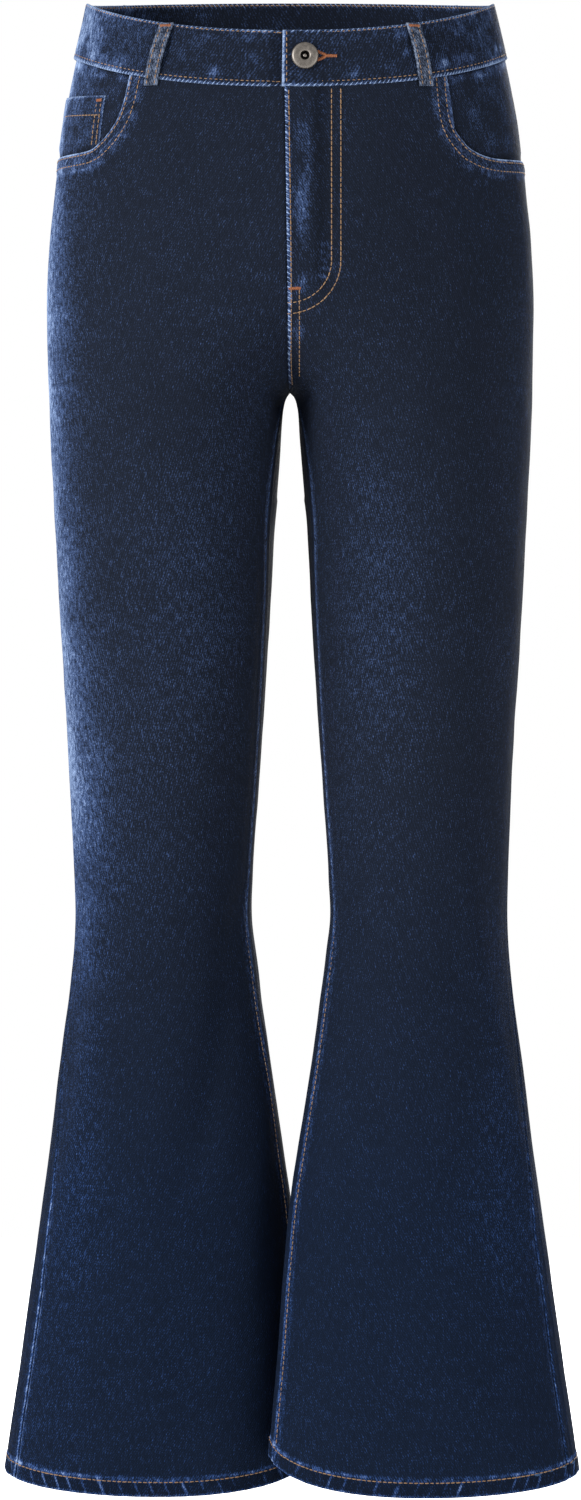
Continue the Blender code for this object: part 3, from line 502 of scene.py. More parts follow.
def frontOn(skin, side, share, fromInner, z):
    below = z < crotch["z"]
    mouthOn(skin, side, fromInner, z)
    # the inseam is a felled ridge, faded and roped
    inseam = np.where(below, fromInner, 99.0)
    skin["height"] += ridges(inseam, relief["frontInseam"])
    skin["wear"] += wearOf["frontInseam"] * hump(inseam - 2.6, 2.4)
    skin["wear"] += wearOf["besideInseam"] * hump(inseam - 7.5, 2.0) * downFrom(z, -640, 100)
    fell = 0.8 * hump(inseam - 0.4, 1.6) * downFrom(z, -560, 200)
    addRope(skin, fell, z + 0.6 * inseam, ropePitch["inseam"])
    middle = np.where(below, 99.0, fromInner)
    if side == leftSide:
        flyOn(skin, middle, z)
    else:
        skin["height"] -= 0.5 * hump(middle, 2.4)
        # painted shadow: the right front's edge darkened where the fly's lap overhangs it
        skin["shade"] -= shadeOf["flyEdge"] * hump(middle, 2.2)
        # painted shade: the inner flare of the leg that stands behind is darkened, where the forward leg
        # shades it
        skin["shade"] -= shadeOf["paintedInnerFlareShade"] * hump(fromInner, 46) * downFrom(z, -760, 160)
    skin["wear"] += wearOf["thigh"] * hump(fromInner - 70, 45) * hump(z + 430, 170)


def backOn(skin, side, share, fromInner, z):
    # the seat seam, where the wearer's left laps over the right, the yoke seam above, and faded places
    isLap = side == leftSide
    below = z < crotch["z"]
    inseam = np.where(below, fromInner, 99.0)
    seat = np.where(below, 99.0, fromInner)
    yoke = yokeEdge(share) - z
    skin["height"] += ridges(inseam, relief["backInseam"]) - 0.7 * hump(seat, 1.0) - 0.8 * hump(yoke, 1.0)
    skin["height"] += 0.5 * (1 - ease((seat - 8.6) / 1.6)) * isLap
    skin["wear"] += wearOf["backInseam"] * hump(inseam - 1.6, 1.6) + wearOf["seatSeam"] * hump(seat, 1.2)
    skin["wear"] += wearOf["seatLap"] * hump(seat - 9.4, 1.2) * isLap + wearOf["yokeSeam"] * hump(yoke, 1.4)
    addRope(skin, (0.7 if isLap else 0.3) * hump(seat - 0.8, 1.4), z + seat, ropePitch["seat"])
    skin["wear"] += wearOf["seat"] * hump(fromInner - 84, 52) * hump(z + 215, 62)
    kneeGrain = np.clip(softNoise(skin["girth"] * 0.3, z, 9, skin["seed"] + 13), 0, 1)
    skin["wear"] += wearOf["kneeBack"] * kneeGrain * hump(z + 665, 60)
    skin["shade"] += shadeOf["seat"] * hump(fromInner - 84, 60) * hump(z + 215, 80)


def hemOn(skin, side, half, share, z):
    # a folded band with slanting ropes and a worn edge
    girth, seed = skin["girth"], skin["seed"]
    fromHem = z - hemEdge(side, half, share)
    inHem = 1 - ease((fromHem - hem["fold"]) / 2.4)
    twist = ropes(girth, fromHem, 14.0, seed + 14)
    skin["height"] += inHem * (0.55 + 0.5 * (twist - 0.35)) + ridges(fromHem, relief["hemTop"])
    hemTop = hump(fromHem - hem["fold"] - 1.4, 1.5) * (0.5 + 0.5 * twist)
    skin["wear"] += wearOf["hemEdge"] * hump(fromHem, 1.2) + wearOf["hemTop"] * hemTop
    mask = inHem * (0.30 + 0.36 * softNoise(girth, 0 * z, 12, seed + 15)) * hump(fromHem - 6.4, 5.0)
    addRope(skin, mask, girth + 0.55 * fromHem, ropePitch["hem"])
    skin["shade"] -= shadeOf["hem"] * inHem


def panelDetail(side, half, share, z):
    # height out and marks of a leg panel's cloth
    share, z = np.broadcast_arrays(np.asarray(share, float), np.asarray(z, float))
    fromInner, fromSide = edgeDistances(side, half, share, z)
    seed, girth = 40 + 7 * side, fromSide if half == "front" else -fromSide
    swells = 0.5 * softNoise(girth, z * 0.55, 44, seed) + 0.24 * softNoise(girth, z * 0.8, 17, seed + 1)
    patches = softNoise(girth, z * 0.4, 60, seed + 2) + softNoise(girth, z, 14, seed + 3)
    skin = {"seed": seed, "girth": girth, "height": ease(fromInner / 26) * swells,
            "wear": wearOf["cloth"] + 0.02 * patches,
            "shade": 0.07 * softNoise(girth, z * 0.35, 90, seed + 4),
            "rope": np.zeros(z.shape), "ropePhase": np.zeros(z.shape)}
    sideSeamOn(skin, side, half, fromSide, z)
    halfOn = frontOn if half == "front" else backOn
    halfOn(skin, side, share, fromInner, z)
    hemOn(skin, side, half, share, z)
    return skin["height"], marksOf(skin["wear"], skin["shade"], skin["rope"], skin["ropePhase"])


def flyCurve(middle, z, row):
    # how far a point is outside one of the fly's two curved rows of stitches
    reach, drop = flyLine[row], flyLine[row + "Drop"]
    below = np.clip(flyLine["turnZ"] - z, 0, None)
    return (np.hypot(middle / reach, below / drop) - 1) * reach


def onPanel(side, half, share, z, lift=0.0):
    # points on a leg panel's finished cloth, and the way out from it
    share, z = np.broadcast_arrays(np.asarray(share, float), np.asarray(z, float))
    height, marks = panelDetail(side, half, share, z)
    normal = halfNormal(side, half, share, z)
    return halfPoint(side, half, share, z) + normal * (height + lift)[..., None], normal, marks


# materials

def linear(hexColour):
    # sRGB hex to the linear values that shaders take
    channels = [int(hexColour[i:i + 2], 16) / 255 for i in (1, 3, 5)]
    return (*[c / 12.92 if c <= 0.04045 else ((c + 0.055) / 1.055) ** 2.4 for c in channels], 1.0)


def addNode(tree, kind, inputs=None, output=0, **settings):
    # adds a node with its settings, links or sets its inputs, and gives one of its outputs
    node = tree.nodes.new(kind)
    for name, value in settings.items():
        setattr(node, name, value)
    for key, value in (inputs or {}).items():
        if isinstance(value, bpy.types.NodeSocket):
            tree.links.new(value, node.inputs[key])
        else:
            node.inputs[key].default_value = value
    return node.outputs[output] if node.outputs else None


def newMaterial(name, roughness):
    material = bpy.data.materials.new(name)
    material.use_nodes = True
    shader = material.node_tree.nodes["Principled BSDF"]
    shader.inputs["Roughness"].default_value = roughness
    return material, material.node_tree, shader


def finish(tree, shader, colour, height, strength, distance):
    # the colour, and the fine relief as bump, a distance in millimetres deep
    bump = addNode(tree, "ShaderNodeBump",
                   {"Height": height, "Strength": strength, "Distance": distance * mm})
    tree.links.new(colour, shader.inputs["Base Color"])
    tree.links.new(bump, shader.inputs["Normal"])


clothMarks = ("wear", "shade", "rope", "ropePhase")
denimLook = {
    "dark": "#0A0D13", "body": "#121722", "fleck": "#2C3B5A", "pale": "#7789A6", "roughness": 0.92,
    "twillMm": 1.7,                         # real twill lines are 0.7 mm apart: drawn coarser, to show
    "twillWay": (0.89, -0.46, 0),           # across the twill lines, which rise steeply to the right
    # patterns of the yarn and of washing: millimetres across and up, detail and roughness
    "patterns": {"slub": (1.1, 8.0, 2.0, 0.5), "fleck": (1.15, 1.38, 3.0, 0.75),
                 "cloud": (26.0, 46.8, 3.0, 0.5), "scuff": (3.2, 5.44, 3.0, 0.5)},
    # how strongly each counts in the rubbing, the dye and the relief
    "rubbing": {"fleck": 0.9, "slub": 0.4, "twill": 0.05, "abraded": 0.9, "ropeLine": 0.675},
    "dye": {"slub": 0.7, "cloud": 0.3, "twill": 0.12},
    "relief": {"slub": 1.0, "fleck": 1.0, "twill": 0.3},
    "scuffGain": 1.7, "scuffLeast": 0.15, "ropeFrom": 0.37, "ropeTo": 0.47,
    "startsAt": 0.82, "fullAt": 1.44,       # how much rubbing shows first, and turns the cloth pale
    "fleckFull": 0.40, "paleFrom": 0.34,    # the share of it where flecks are all bare, and where weft shows
    "deep": (0.60, 0.85, 1.13), "deepFrom": -560.0, "deepTo": -900.0,   # below the knee it kept more dye
}


def denim(name, look):
    # Indigo denim, washed: dark blue warp with white weft showing through as fine slanting flecks, paler
    # where it has rubbed on an edge or a seam.
    # Its wear and shade marks also carry painted highlight and painted shade in places. Its UV map is in
    # millimetres, up the warp
    material, tree, shader = newMaterial(name, look["roughness"])
    uv = addNode(tree, "ShaderNodeUVMap", uv_map="cloth")
    seen = {mark: addNode(tree, "ShaderNodeAttribute", output="Fac", attribute_name=mark)
            for mark in clothMarks}
    for pattern, (wide, tall, detail, roughness) in look["patterns"].items():
        placed = addNode(tree, "ShaderNodeMapping", {"Vector": uv, "Scale": (1 / wide, 1 / tall, 1)})
        settings = {"Vector": placed, "Scale": 1.0, "Detail": detail, "Roughness": roughness}
        seen[pattern] = addNode(tree, "ShaderNodeTexNoise", settings, "Fac")
    turns = 2 * np.pi / look["twillMm"]
    slant = addNode(tree, "ShaderNodeVectorMath", {0: uv, 1: look["twillWay"]}, "Value",
                    operation="DOT_PRODUCT")
    slantTurn = addNode(tree, "ShaderNodeMath", {0: slant, 1: turns}, operation="MULTIPLY")
    seen["twill"] = addNode(tree, "ShaderNodeMath", {0: slantTurn}, operation="SINE")
    ropeTurn = addNode(tree, "ShaderNodeMath", {0: seen["ropePhase"], 1: 0.5}, operation="PINGPONG")
    ropeShows = addNode(tree, "ShaderNodeMapRange",
                        {"Value": ropeTurn, "From Min": look["ropeFrom"], "From Max": look["ropeTo"]})
    seen["ropeLine"] = addNode(tree, "ShaderNodeMath", {0: seen["rope"], 1: ropeShows}, operation="MULTIPLY")
    scuffs = addNode(tree, "ShaderNodeMath", {0: seen["scuff"], 1: look["scuffGain"], 2: look["scuffLeast"]},
                     operation="MULTIPLY_ADD")
    seen["abraded"] = addNode(tree, "ShaderNodeMath", {0: seen["wear"], 1: scuffs}, operation="MULTIPLY")
    for total in ("rubbing", "dye", "relief"):
        running = 0.0
        for part, weight in look[total].items():
            terms = {0: seen[part], 1: weight, 2: running}
            running = addNode(tree, "ShaderNodeMath", terms, operation="MULTIPLY_ADD")
        seen[total] = running
    worn = addNode(tree, "ShaderNodeMapRange",
                   {"Value": seen["rubbing"], "From Min": look["startsAt"], "From Max": look["fullAt"]})
    height = addNode(tree, "ShaderNodeSeparateXYZ", {"Vector": uv}, "Y")
    colour = linear(look["dark"])
    # dye, then flecks, then the deeper tint low on the legs, then bare weft
    for layer, value, start, end, blend in (
            (linear(look["body"]), seen["dye"], 0.0, 1.0, "MIX"),
            (linear(look["fleck"]), worn, 0.0, look["fleckFull"], "MIX"),
            ((*look["deep"], 1.0), height, look["deepFrom"], look["deepTo"], "MULTIPLY"),
            (linear(look["pale"]), worn, look["paleFrom"], 1.0, "MIX")):
        share = addNode(tree, "ShaderNodeMapRange", {"Value": value, "From Min": start, "From Max": end})
        ends = {0: share, 6: colour, 7: layer}
        colour = addNode(tree, "ShaderNodeMix", ends, 2, data_type="RGBA", blend_type=blend)
    lighter = addNode(tree, "ShaderNodeMath", {0: seen["shade"], 1: 1.0}, operation="ADD")
    colour = addNode(tree, "ShaderNodeVectorMath", {0: colour, 3: lighter}, operation="SCALE")
    finish(tree, shader, colour, seen["relief"], 0.5, 0.35)
    shader.inputs["Specular IOR Level"].default_value = 0.03
    return material


def threadMaterial(name, core, dusty):
    # Core-spun polyester sewing thread: matte, with a fine twist that catches light along its length
    material, tree, shader = newMaterial(name, 0.7)
    place = addNode(tree, "ShaderNodeTexCoord", output="Object")
    patch = addNode(tree, "ShaderNodeTexNoise", {"Vector": place, "Scale": 160.0, "Detail": 2.0}, "Fac")
    twist = addNode(tree, "ShaderNodeTexNoise", {"Vector": place, "Scale": 2600.0, "Detail": 1.0}, "Fac")
    ends = {0: patch, 6: linear(core), 7: linear(dusty)}
    colour = addNode(tree, "ShaderNodeMix", ends, 2, data_type="RGBA")
    finish(tree, shader, colour, twist, 0.4, 0.1)
    return material


def buttonMetal(name, dark, rubbed):
    # Die-cast zinc alloy with an aged nickel finish: grey-brown, dull, brighter on its rubbed rim
    material, tree, shader = newMaterial(name, 0.5)
    place = addNode(tree, "ShaderNodeTexCoord", output="Object")
    grime = addNode(tree, "ShaderNodeTexNoise", {"Vector": place, "Scale": 420.0, "Detail": 4.0}, "Fac")
    rim = addNode(tree, "ShaderNodeNewGeometry", output="Pointiness")
    rub = addNode(tree, "ShaderNodeMapRange", {"Value": rim, "From Min": 0.48, "From Max": 0.56})
    grimeShare = addNode(tree, "ShaderNodeMath", {0: grime, 1: 0.6}, operation="MULTIPLY")
    bright = addNode(tree, "ShaderNodeMath", {0: rub, 1: 0.4, 2: grimeShare}, operation="MULTIPLY_ADD")
    ends = {0: bright, 6: linear(dark), 7: linear(rubbed)}
    colour = addNode(tree, "ShaderNodeMix", ends, 2, data_type="RGBA")
    finish(tree, shader, colour, grime, 0.25, 0.1)
    dull = addNode(tree, "ShaderNodeMath", {0: grime, 1: 0.3, 2: 0.34}, operation="MULTIPLY_ADD")
    tree.links.new(dull, shader.inputs["Roughness"])
    shader.inputs["Metallic"].default_value = 1.0
    return material


denimFace = denim("indigoDenimFace", denimLook)
denimInside = denim("indigoDenimInside", {**denimLook, "dark": "#2F3745", "body": "#4A5464",
                                          "fleck": "#6E7888", "pale": "#8790A0"})
loopTwill = denim("wornLoopTwill", {**denimLook, "dark": "#0D1017", "body": "#1C212C", "fleck": "#3E4758",
                                    "pale": "#6A7280", "startsAt": 0.66, "fullAt": 1.20})
tanThread = threadMaterial("tanPolyesterThread", "#513921", "#6F5536")
orangeThread = threadMaterial("orangePolyesterThread", "#5C2C0B", "#723F16")
agedNickel = buttonMetal("agedNickelZinc", "#3C3835", "#77726C")
oxidisedShadedNickel = buttonMetal("oxidisedShadedNickelZinc", "#0C0B0A", "#1C1A18")      # the sunk middle, never rubbed: oxide, and painted near black for the shade in the recess
print("materials made")


# making pieces

def meshPiece(name, points, faces, materials, uv=None, marks=None):
    mesh = bpy.data.meshes.new(name)
    mesh.from_pydata((np.asarray(points).reshape(-1, 3) * mm).tolist(), [], faces)
    for material in materials:
        mesh.materials.append(material)
    for i, mark in enumerate(clothMarks if marks is not None else ()):
        values = np.ascontiguousarray(marks[..., i], np.float32).ravel()
        mesh.attributes.new(mark, "FLOAT", "POINT").data.foreach_set("value", values)
    if uv is not None:
        loops = np.empty(len(mesh.loops), np.int32)
        mesh.loops.foreach_get("vertex_index", loops)
        flat = np.asarray(uv, np.float32).reshape(-1, 2)[loops]
        mesh.uv_layers.new(name="cloth").data.foreach_set("uv", flat.ravel())
    mesh.shade_smooth()
    piece = bpy.data.objects.new(name, mesh)
    bpy.context.scene.collection.objects.link(piece)
    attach(piece, "root")
    return piece


def gridFaces(rows, columns, flip=False, closed=False):
    index = np.arange(rows * columns).reshape(rows, columns)
    right = np.roll(index, -1, axis=1) if closed else index[:, 1:]
    left = index if closed else index[:, :-1]
    corners = np.stack([left[:-1], left[1:], right[1:], right[:-1]], axis=-1).reshape(-1, 4)
    return (corners[:, ::-1] if flip else corners).tolist()


def sheetPiece(name, points, marks, uv, thickness, flip, inside=None):
    # a sheet of cloth from a grid of outer points, thickened inwards
    faces = gridFaces(*points.shape[:2], flip)
    piece = meshPiece(name, points, faces, [denimFace, inside or denimFace], uv, marks)
    wall = piece.modifiers.new("clothThickness", "SOLIDIFY")
    wall.thickness, wall.offset, wall.use_rim = thickness * mm, -1.0, True
    wall.material_offset = 1 if inside else 0
    return piece


def standFor(node):
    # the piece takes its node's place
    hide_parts(node)


# rows of points down a leg panel, and how they crowd towards its ends
legRows = {"top": 34, "seat": 43, "leg": 258, "foot": 20, "seatZ": -160, "footHeight": 44, "crowding": 1.35,
           "uvWidth": 400}
frontColumns = {"count": 48, "even": 0.28, "crowded": 0.72, "power": 1.5}
backColumns = {"count": 102, "swing": 0.7}
# where each panel's middle edge lies beyond the middle plane: the wearer's left laps on top
middleReach = {"front": {leftSide: -0.9, rightSide: 0.6}, "back": {leftSide: -0.2, rightSide: 0.9}}
# the hem turns in and up behind itself: how far in and how far up
hemTurn = ((-0.9, -0.5), (-2.0, -0.5), (-2.9, 0.6), (-3.0, 4.0), (-3.0, 8.0), (-2.6, 11.0))


def panelTop(side, half):
    # shares across a panel, and its upper edge there
    if half == "back":
        u = np.linspace(0, 1, backColumns["count"])
        shares = u - backColumns["swing"] * np.sin(2 * np.pi * u) / (2 * np.pi)
        return shares, yokeEdge(shares) + tuck
    run, u = mouthRuns[side], np.linspace(0, 1, frontColumns["count"])
    crowded = frontColumns["even"] * u + frontColumns["crowded"] * u ** frontColumns["power"]
    inner = run["corners"][0] * crowded
    shares = np.concatenate([inner, run["share"][1:]])
    top = np.concatenate([waistSeam("front", inner) + tuck, run["z"][1:]])
    keep = np.concatenate([[True], np.diff(np.maximum.accumulate(shares)) > 1e-5])
    return shares[keep], top[keep]


def legPanel(name, node, side, half):
    shares, top = panelTop(side, half)
    edge = hemEdge(side, half, shares)
    footTop, seatZ = hem["z"][side] + legRows["footHeight"], legRows["seatZ"]
    down = {part: np.linspace(0, 1, legRows[part], endpoint=(part == "foot"))[:, None]
            for part in ("top", "seat", "leg", "foot")}
    flat = np.ones(shares.shape)
    z = np.concatenate([
        top + down["top"] ** legRows["crowding"] * (seatZ - top),
        (seatZ + down["seat"] * (crotch["z"] - seatZ)) * flat,
        (crotch["z"] + down["leg"] * (footTop - crotch["z"])) * flat,
        footTop + (1 - (1 - down["foot"]) ** legRows["crowding"]) * (edge - footTop)])
    grid = np.broadcast_to(shares, z.shape).copy()
    points, normals, marks = onPanel(side, half, grid, z)
    middle = 0 if half == "front" else -1
    closed = z[:, middle] > crotch["z"] - 0.01
    lap = smooth(z[:, middle], flyLap, "lap") if half == "front" else 0 * z[:, middle]
    points[closed, middle, 0] = (middleReach[half][side] - lap)[closed]
    edgePoints = points[-1:]
    for inward, up in hemTurn:
        points = np.concatenate([points, edgePoints + normals[-1:] * inward + np.array([0, 0, up])])
        marks = np.concatenate([marks, marks[-1:] * np.array([0.8, 1, 0.6, 1])])
        z = np.concatenate([z, z[-1:] - 2])
        grid = np.concatenate([grid, grid[-1:]])
    _, fromSide = edgeDistances(side, half, grid, z)
    uv = np.stack([fromSide if half == "front" else legRows["uvWidth"] - fromSide, z], axis=-1)
    piece = sheetPiece(name, points, marks, uv, cloth, (side == rightSide), denimInside)
    standFor(node)


def strip(name, node, side, half, shares, top, bottom, rows, lift, thickness, detail):
    # a smaller piece over part of a leg half, between two edges
    z = top + np.linspace(0, 1, rows)[:, None] * (bottom - top)
    grid = np.broadcast_to(shares, z.shape)
    height, marks = detail(side, grid, z, top - z, z - bottom)
    normal = halfNormal(side, half, grid, z)
    points = halfPoint(side, half, grid, z) + normal * (height + lift)[..., None]
    _, fromSide = edgeDistances(side, half, grid, z)
    uv = np.stack([fromSide + 60, z + 13], axis=-1)
    piece = sheetPiece(name, points, marks, uv, thickness, (side == rightSide))
    standFor(node)


sides = ((rightSide, "Right", "right"), (leftSide, "Left", "left"))
for side, word, nodeWord in sides:
    for half in ("front", "back"):
        legPanel(f"{half}Panel{word}", f"{half}_{nodeWord}", side, half)
print("leg panels made")

# yokes, pocket facings and the coin pocket

yokeLook = {"rows": 30, "lap": 9, "wear": 0.10, "foot": 0.3, "secondRow": 0.25, "top": 0.2, "seams": 0.3}
# on facings and the coin pocket, the darkening along the pocket mouth is painted shadow, and the paleness
# towards the side seam partly fading, partly painted highlight
facingLook = {"rows": 34, "depth": {rightSide: 2.8, leftSide: 1.5}, "thickness": 1.0, "innerReach": 0.072,
              "innerZ": -90, "level": {rightSide: 1, leftSide: 0.6}, "wear": 0.14,
              "fadeAndPaintedLight": {rightSide: 0.46, leftSide: 0.10}, "under": 0.6}
coin = {"top": {"inner": -74.4, "outer": -69.5}, "tuck": 10.0, "corner": 3, "inset": 0.013, "rows": 30,
        "depth": 1.5, "thickness": 1.0, "hem": 14.5, "wear": 0.20, "edge": 0.35, "fadeAndPaintedLight": 0.5, "under": 0.5}
coinStart = mouthRuns[rightSide]["corners"][coin["corner"]] + coin["inset"]
coinShares = mouthRuns[rightSide]["share"]
coinShares = np.concatenate([[coinStart], coinShares[coinShares > coinStart + 0.002]])
coinAcross = (coinShares - coinShares[0]) / (coinShares[-1] - coinShares[0])
coinTop = coin["top"]["inner"] + coinAcross * (coin["top"]["outer"] - coin["top"]["inner"])


def yokeDetail(side, share, z, fromTop, fromBottom):
    fromInner, fromSide = edgeDistances(side, "back", share, z)
    height = 0.4 * softNoise(-fromSide, z * 0.55, 44, 40 + 7 * side) - 0.9 * hump(fromSide, 1.5)
    height += 0.45 * (1 - ease((fromBottom - yokeLook["lap"]) / 1.6)) + ridges(fromBottom, relief["yokeFoot"])
    lap = 0.45 * (1 - ease((fromInner - 8.6) / 1.6)) * (side == leftSide)
    height += lap - 0.7 * hump(fromInner, 1.0)
    wear = yokeLook["wear"] + 0.08 * softNoise(fromSide, z, 20, 61 + side)
    wear += yokeLook["foot"] * hump(fromBottom, 1.3) + yokeLook["secondRow"] * hump(fromBottom - 10, 1.4)
    wear += yokeLook["top"] * hump(fromTop - 2, 2.5)
    wear += yokeLook["seams"] * (hump(fromInner, 1.3) + hump(fromSide - 3, 2.5))
    shade = 0.08 * softNoise(fromSide, z, 50, 64)
    return height, marksOf(wear, shade, 0.8 * hump(fromBottom - 0.8, 1.6), (fromSide + fromBottom) / 4.5)


def mouthZ(side, shares):
    return np.interp(shares, mouthRuns[side]["share"], mouthRuns[side]["z"])


def towardsSide(side, share, z, fromSide):
    # a pocket's layers lie behind the front's cloth, but come level with it at the side seam
    return 2.0 * ease((34 - fromSide) / 28) * upFrom(z, mouthZ(side, share) + 1, 9)


def facingDetail(side, share, z, fromTop, fromBottom):
    fromInner, fromSide = edgeDistances(side, "front", share, z)
    height = 0.25 * softNoise(fromSide, z, 22, 70 + side) - 0.7 * hump(fromSide, 1.5)
    height += towardsSide(side, share, z, fromSide) * facingLook["level"][side]
    wear = facingLook["wear"] + 0.08 * softNoise(fromSide, z, 12, 71 + side)
    # paler towards the side seam, mostly on the wearer's right: partly fading, partly painted highlight
    wear += facingLook["fadeAndPaintedLight"][side] * hump(fromSide - 8, 40)
    wear += 0.3 * hump(fromTop - 3, 4) * (0.6 + 0.6 * softNoise(fromSide, z, 5, 72))
    # painted shadow: the facing darkened along the pocket mouth's edge, where the front's cloth shades it
    return height, marksOf(wear, 0.06 - facingLook["under"] * hump(mouthDistance(side, fromInner, z), 3.2))


def coinWidth(side, share, z):
    # distance from the coin pocket's inner edge
    return (edgeDistances(side, "front", share, z)[0]
            - edgeDistances(side, "front", 0 * share + coinShares[0], z)[0])


def coinDetail(side, share, z, fromTop, fromBottom):
    fromInner, fromSide = edgeDistances(side, "front", share, z)
    fromEdge = coinWidth(side, share, z)
    height = 0.25 * softNoise(fromSide, z, 14, 80) + 0.35 * (1 - ease((fromTop - 15) / 1.5))
    height += towardsSide(side, share, z, fromSide) - 0.5 * hump(fromTop, 0.8)
    height -= 0.5 * hump(fromEdge, 0.8) + 0.22 * hump(fromTop - coin["hem"], 0.9)
    wear = coin["wear"] + 0.08 * softNoise(fromSide, z, 9, 81) + 0.4 * hump(fromTop, 1.2)
    # paler along the inner edge, and towards the side seam: there partly fading, partly painted highlight
    wear += coin["edge"] * hump(fromEdge, 1.0) + coin["fadeAndPaintedLight"] * hump(fromSide - 4, 34)
    # painted shadow: the coin pocket darkened along the pocket mouth's edge, where the front's cloth shades
    # it
    return height, marksOf(wear, 0.06 - coin["under"] * hump(mouthDistance(side, fromInner, z), 3.2))


for side, word, nodeWord in sides:
    shares = np.linspace(0, 1, 92)
    strip(f"yoke{word}", f"yoke_{nodeWord}", side, "back", shares, waistSeam("back", shares) + tuck,
          yokeEdge(shares) + seamGap / 2, yokeLook["rows"], 0.0, cloth, yokeDetail)
    run = mouthRuns[side]
    first = run["corners"][0] - facingLook["innerReach"]
    shares = np.linspace(first, 1, 60)
    foot = [facingLook["innerZ"], *run["facing"], run["facing"][-1]]
    bottom = np.interp(shares, [first, *run["corners"], 1.0], foot)
    strip(f"pocketFacing{word}", f"pocket_facing_{nodeWord}", side, "front", shares,
          waistSeam("front", shares) + tuck, bottom, facingLook["rows"], -facingLook["depth"][side],
          facingLook["thickness"], facingDetail)
coinFoot = mouthZ(rightSide, coinShares) - coin["tuck"]
strip("coinPocket", "coin_pocket", rightSide, "front", coinShares, coinTop, coinFoot,
      coin["rows"], -coin["depth"], coin["thickness"], coinDetail)
print("yokes, facings and coin pocket made")

# back patch pockets

backPocket = {"outerTop": (155, -112), "innerTop": (24, -120), "innerFoot": (33, -243), "point": (92, -262),
              "outerFoot": (152, -236), "hem": 20, "edgeRow": 1.9, "innerRow": 8.2, "lift": 1.3,
              "wide": 128.0, "tall": 136.0, "pointAcross": 0.46, "columns": 58, "rows": 60, "thickness": 1.0}


def pocketPlace(across, down):
    # share and height of a place on a pocket: across from its inner edge, down from its top edge
    innerTop, outerTop = np.array(backPocket["innerTop"]), np.array(backPocket["outerTop"])
    foot = np.array([backPocket["innerFoot"], backPocket["point"], backPocket["outerFoot"]], float)
    breaks = (foot[:, 0] - foot[0, 0]) / (foot[-1, 0] - foot[0, 0])
    top = innerTop + across[..., None] * (outerTop - innerTop)
    bottom = np.stack([np.interp(across, breaks, foot[:, k]) for k in (0, 1)], axis=-1)
    spot = top + down[..., None] * (bottom - top)
    return spot[..., 0], spot[..., 1]


def backPocketPiece(name, node, side):
    across, down = np.meshgrid(*(np.linspace(0, 1, backPocket[count]) for count in ("columns", "rows")))
    x, z = pocketPlace(across, down)
    share = shareAtX(side, "back", x, z).reshape(x.shape)
    normal = halfNormal(side, "back", share, z)
    fromSides = np.minimum(across, 1 - across) * backPocket["wide"]
    edge = np.minimum(fromSides, (1 - down) * backPocket["tall"] * 0.94)
    top = down * backPocket["tall"]
    height = 0.3 * softNoise(x, z, 30, 90 + side) - 0.5 * hump(np.minimum(edge, top), 0.9)
    height += 0.25 * (1 - ease((edge - 9.5) / 1.5)) + 0.3 * (1 - ease((top - backPocket["hem"]) / 1.5))
    height -= 0.2 * hump(edge - 5, 1.0)
    wear = 0.12 + 0.08 * softNoise(x, z, 22, 91 + side) + 0.45 * hump(edge, 1.2) + 0.35 * hump(top, 1.2)
    wear += 0.04 * hump(x - 90, 40) * hump(z + 196, 40) + 0.16 * hump(edge - 5, 3)
    rope = 0.7 * hump(edge - 0.9, 1.5) + 0.8 * hump(top - 0.9, 1.5)
    base, _, _ = onPanel(side, "back", share, z)
    points = base + normal * (height + backPocket["lift"])[..., None]
    uv = np.stack([x * side + 700, z + 7], axis=-1)
    marks = marksOf(wear, 0.1 * softNoise(x, z, 40, 93), rope, (x + z) / 4.6)
    piece = sheetPiece(name, points, marks, uv, backPocket["thickness"], (side == leftSide))
    standFor(node)


for side, word, nodeWord in sides:
    backPocketPiece(f"backPocket{word}", f"back_pocket_{nodeWord}", side)
print("back pockets made")

# waistband, belt loops, button

band = {"lift": 1.0, "wall": 2.5, "lapEndX": -6.1, "lapEndRow": 3.3, "dive": 2.9,
        "edgeRow": 1.7, "seamRow": 4.0, "radius": 138.0}
loops = {"width": 10.8, "wall": 1.6,
         "angles": ((32.4, 33.8), (-32.8, -35.1), (128.0, 128.0), (-128.0, -128.0), (180.0, 180.0)),
         "down": (0.0, 0.05, 0.12, 0.28, 0.50, 0.72, 0.88, 0.952, 0.975, 1.0, 1.119),
         "stand": (0.3, 0.5, 1.0, 2.3, 3.0, 2.5, 1.2, 0.55, 0.4, 0.35, -0.3),
         "length": 47, "rowAt": 3.1}
button = {"x": 10.6, "z": -49.4, "spokes": 72,
          "profile": ((3.1, 1.3), (3.25, 2.9), (3.6, 3.45), (4.3, 3.66), (5.5, 3.72), (7.0, 3.68),
                      (8.3, 3.55), (9.1, 3.25), (9.65, 2.65), (9.9, 1.8), (9.7, 0.8), (8.4, 0.05)),
          "rivet": ((0.7, 2.4), (1.3, 2.1), (1.9, 1.5), (2.9, 1.25)), "rivetTop": 2.5}


def bandNormal(angle, z):
    x1, y1 = trunkPoint(angle - 1e-3, z)
    x2, y2 = trunkPoint(angle + 1e-3, z)
    lowX, lowY = trunkPoint(angle, z - 1)
    highX, highY = trunkPoint(angle, z + 1)
    along = np.stack([x2 - x1, y2 - y1, np.zeros(np.shape(x1))], axis=-1)
    upward = np.stack([highX - lowX, highY - lowY, np.full(np.shape(x1), 2.0)], axis=-1)
    normal = np.cross(along, upward)
    return normal / np.linalg.norm(normal, axis=-1, keepdims=True)


def bandPoint(angle, z, offset):
    x, y = trunkPoint(angle, z)
    return np.stack([x, y, z], axis=-1) + bandNormal(angle, z) * np.asarray(offset)[..., None]


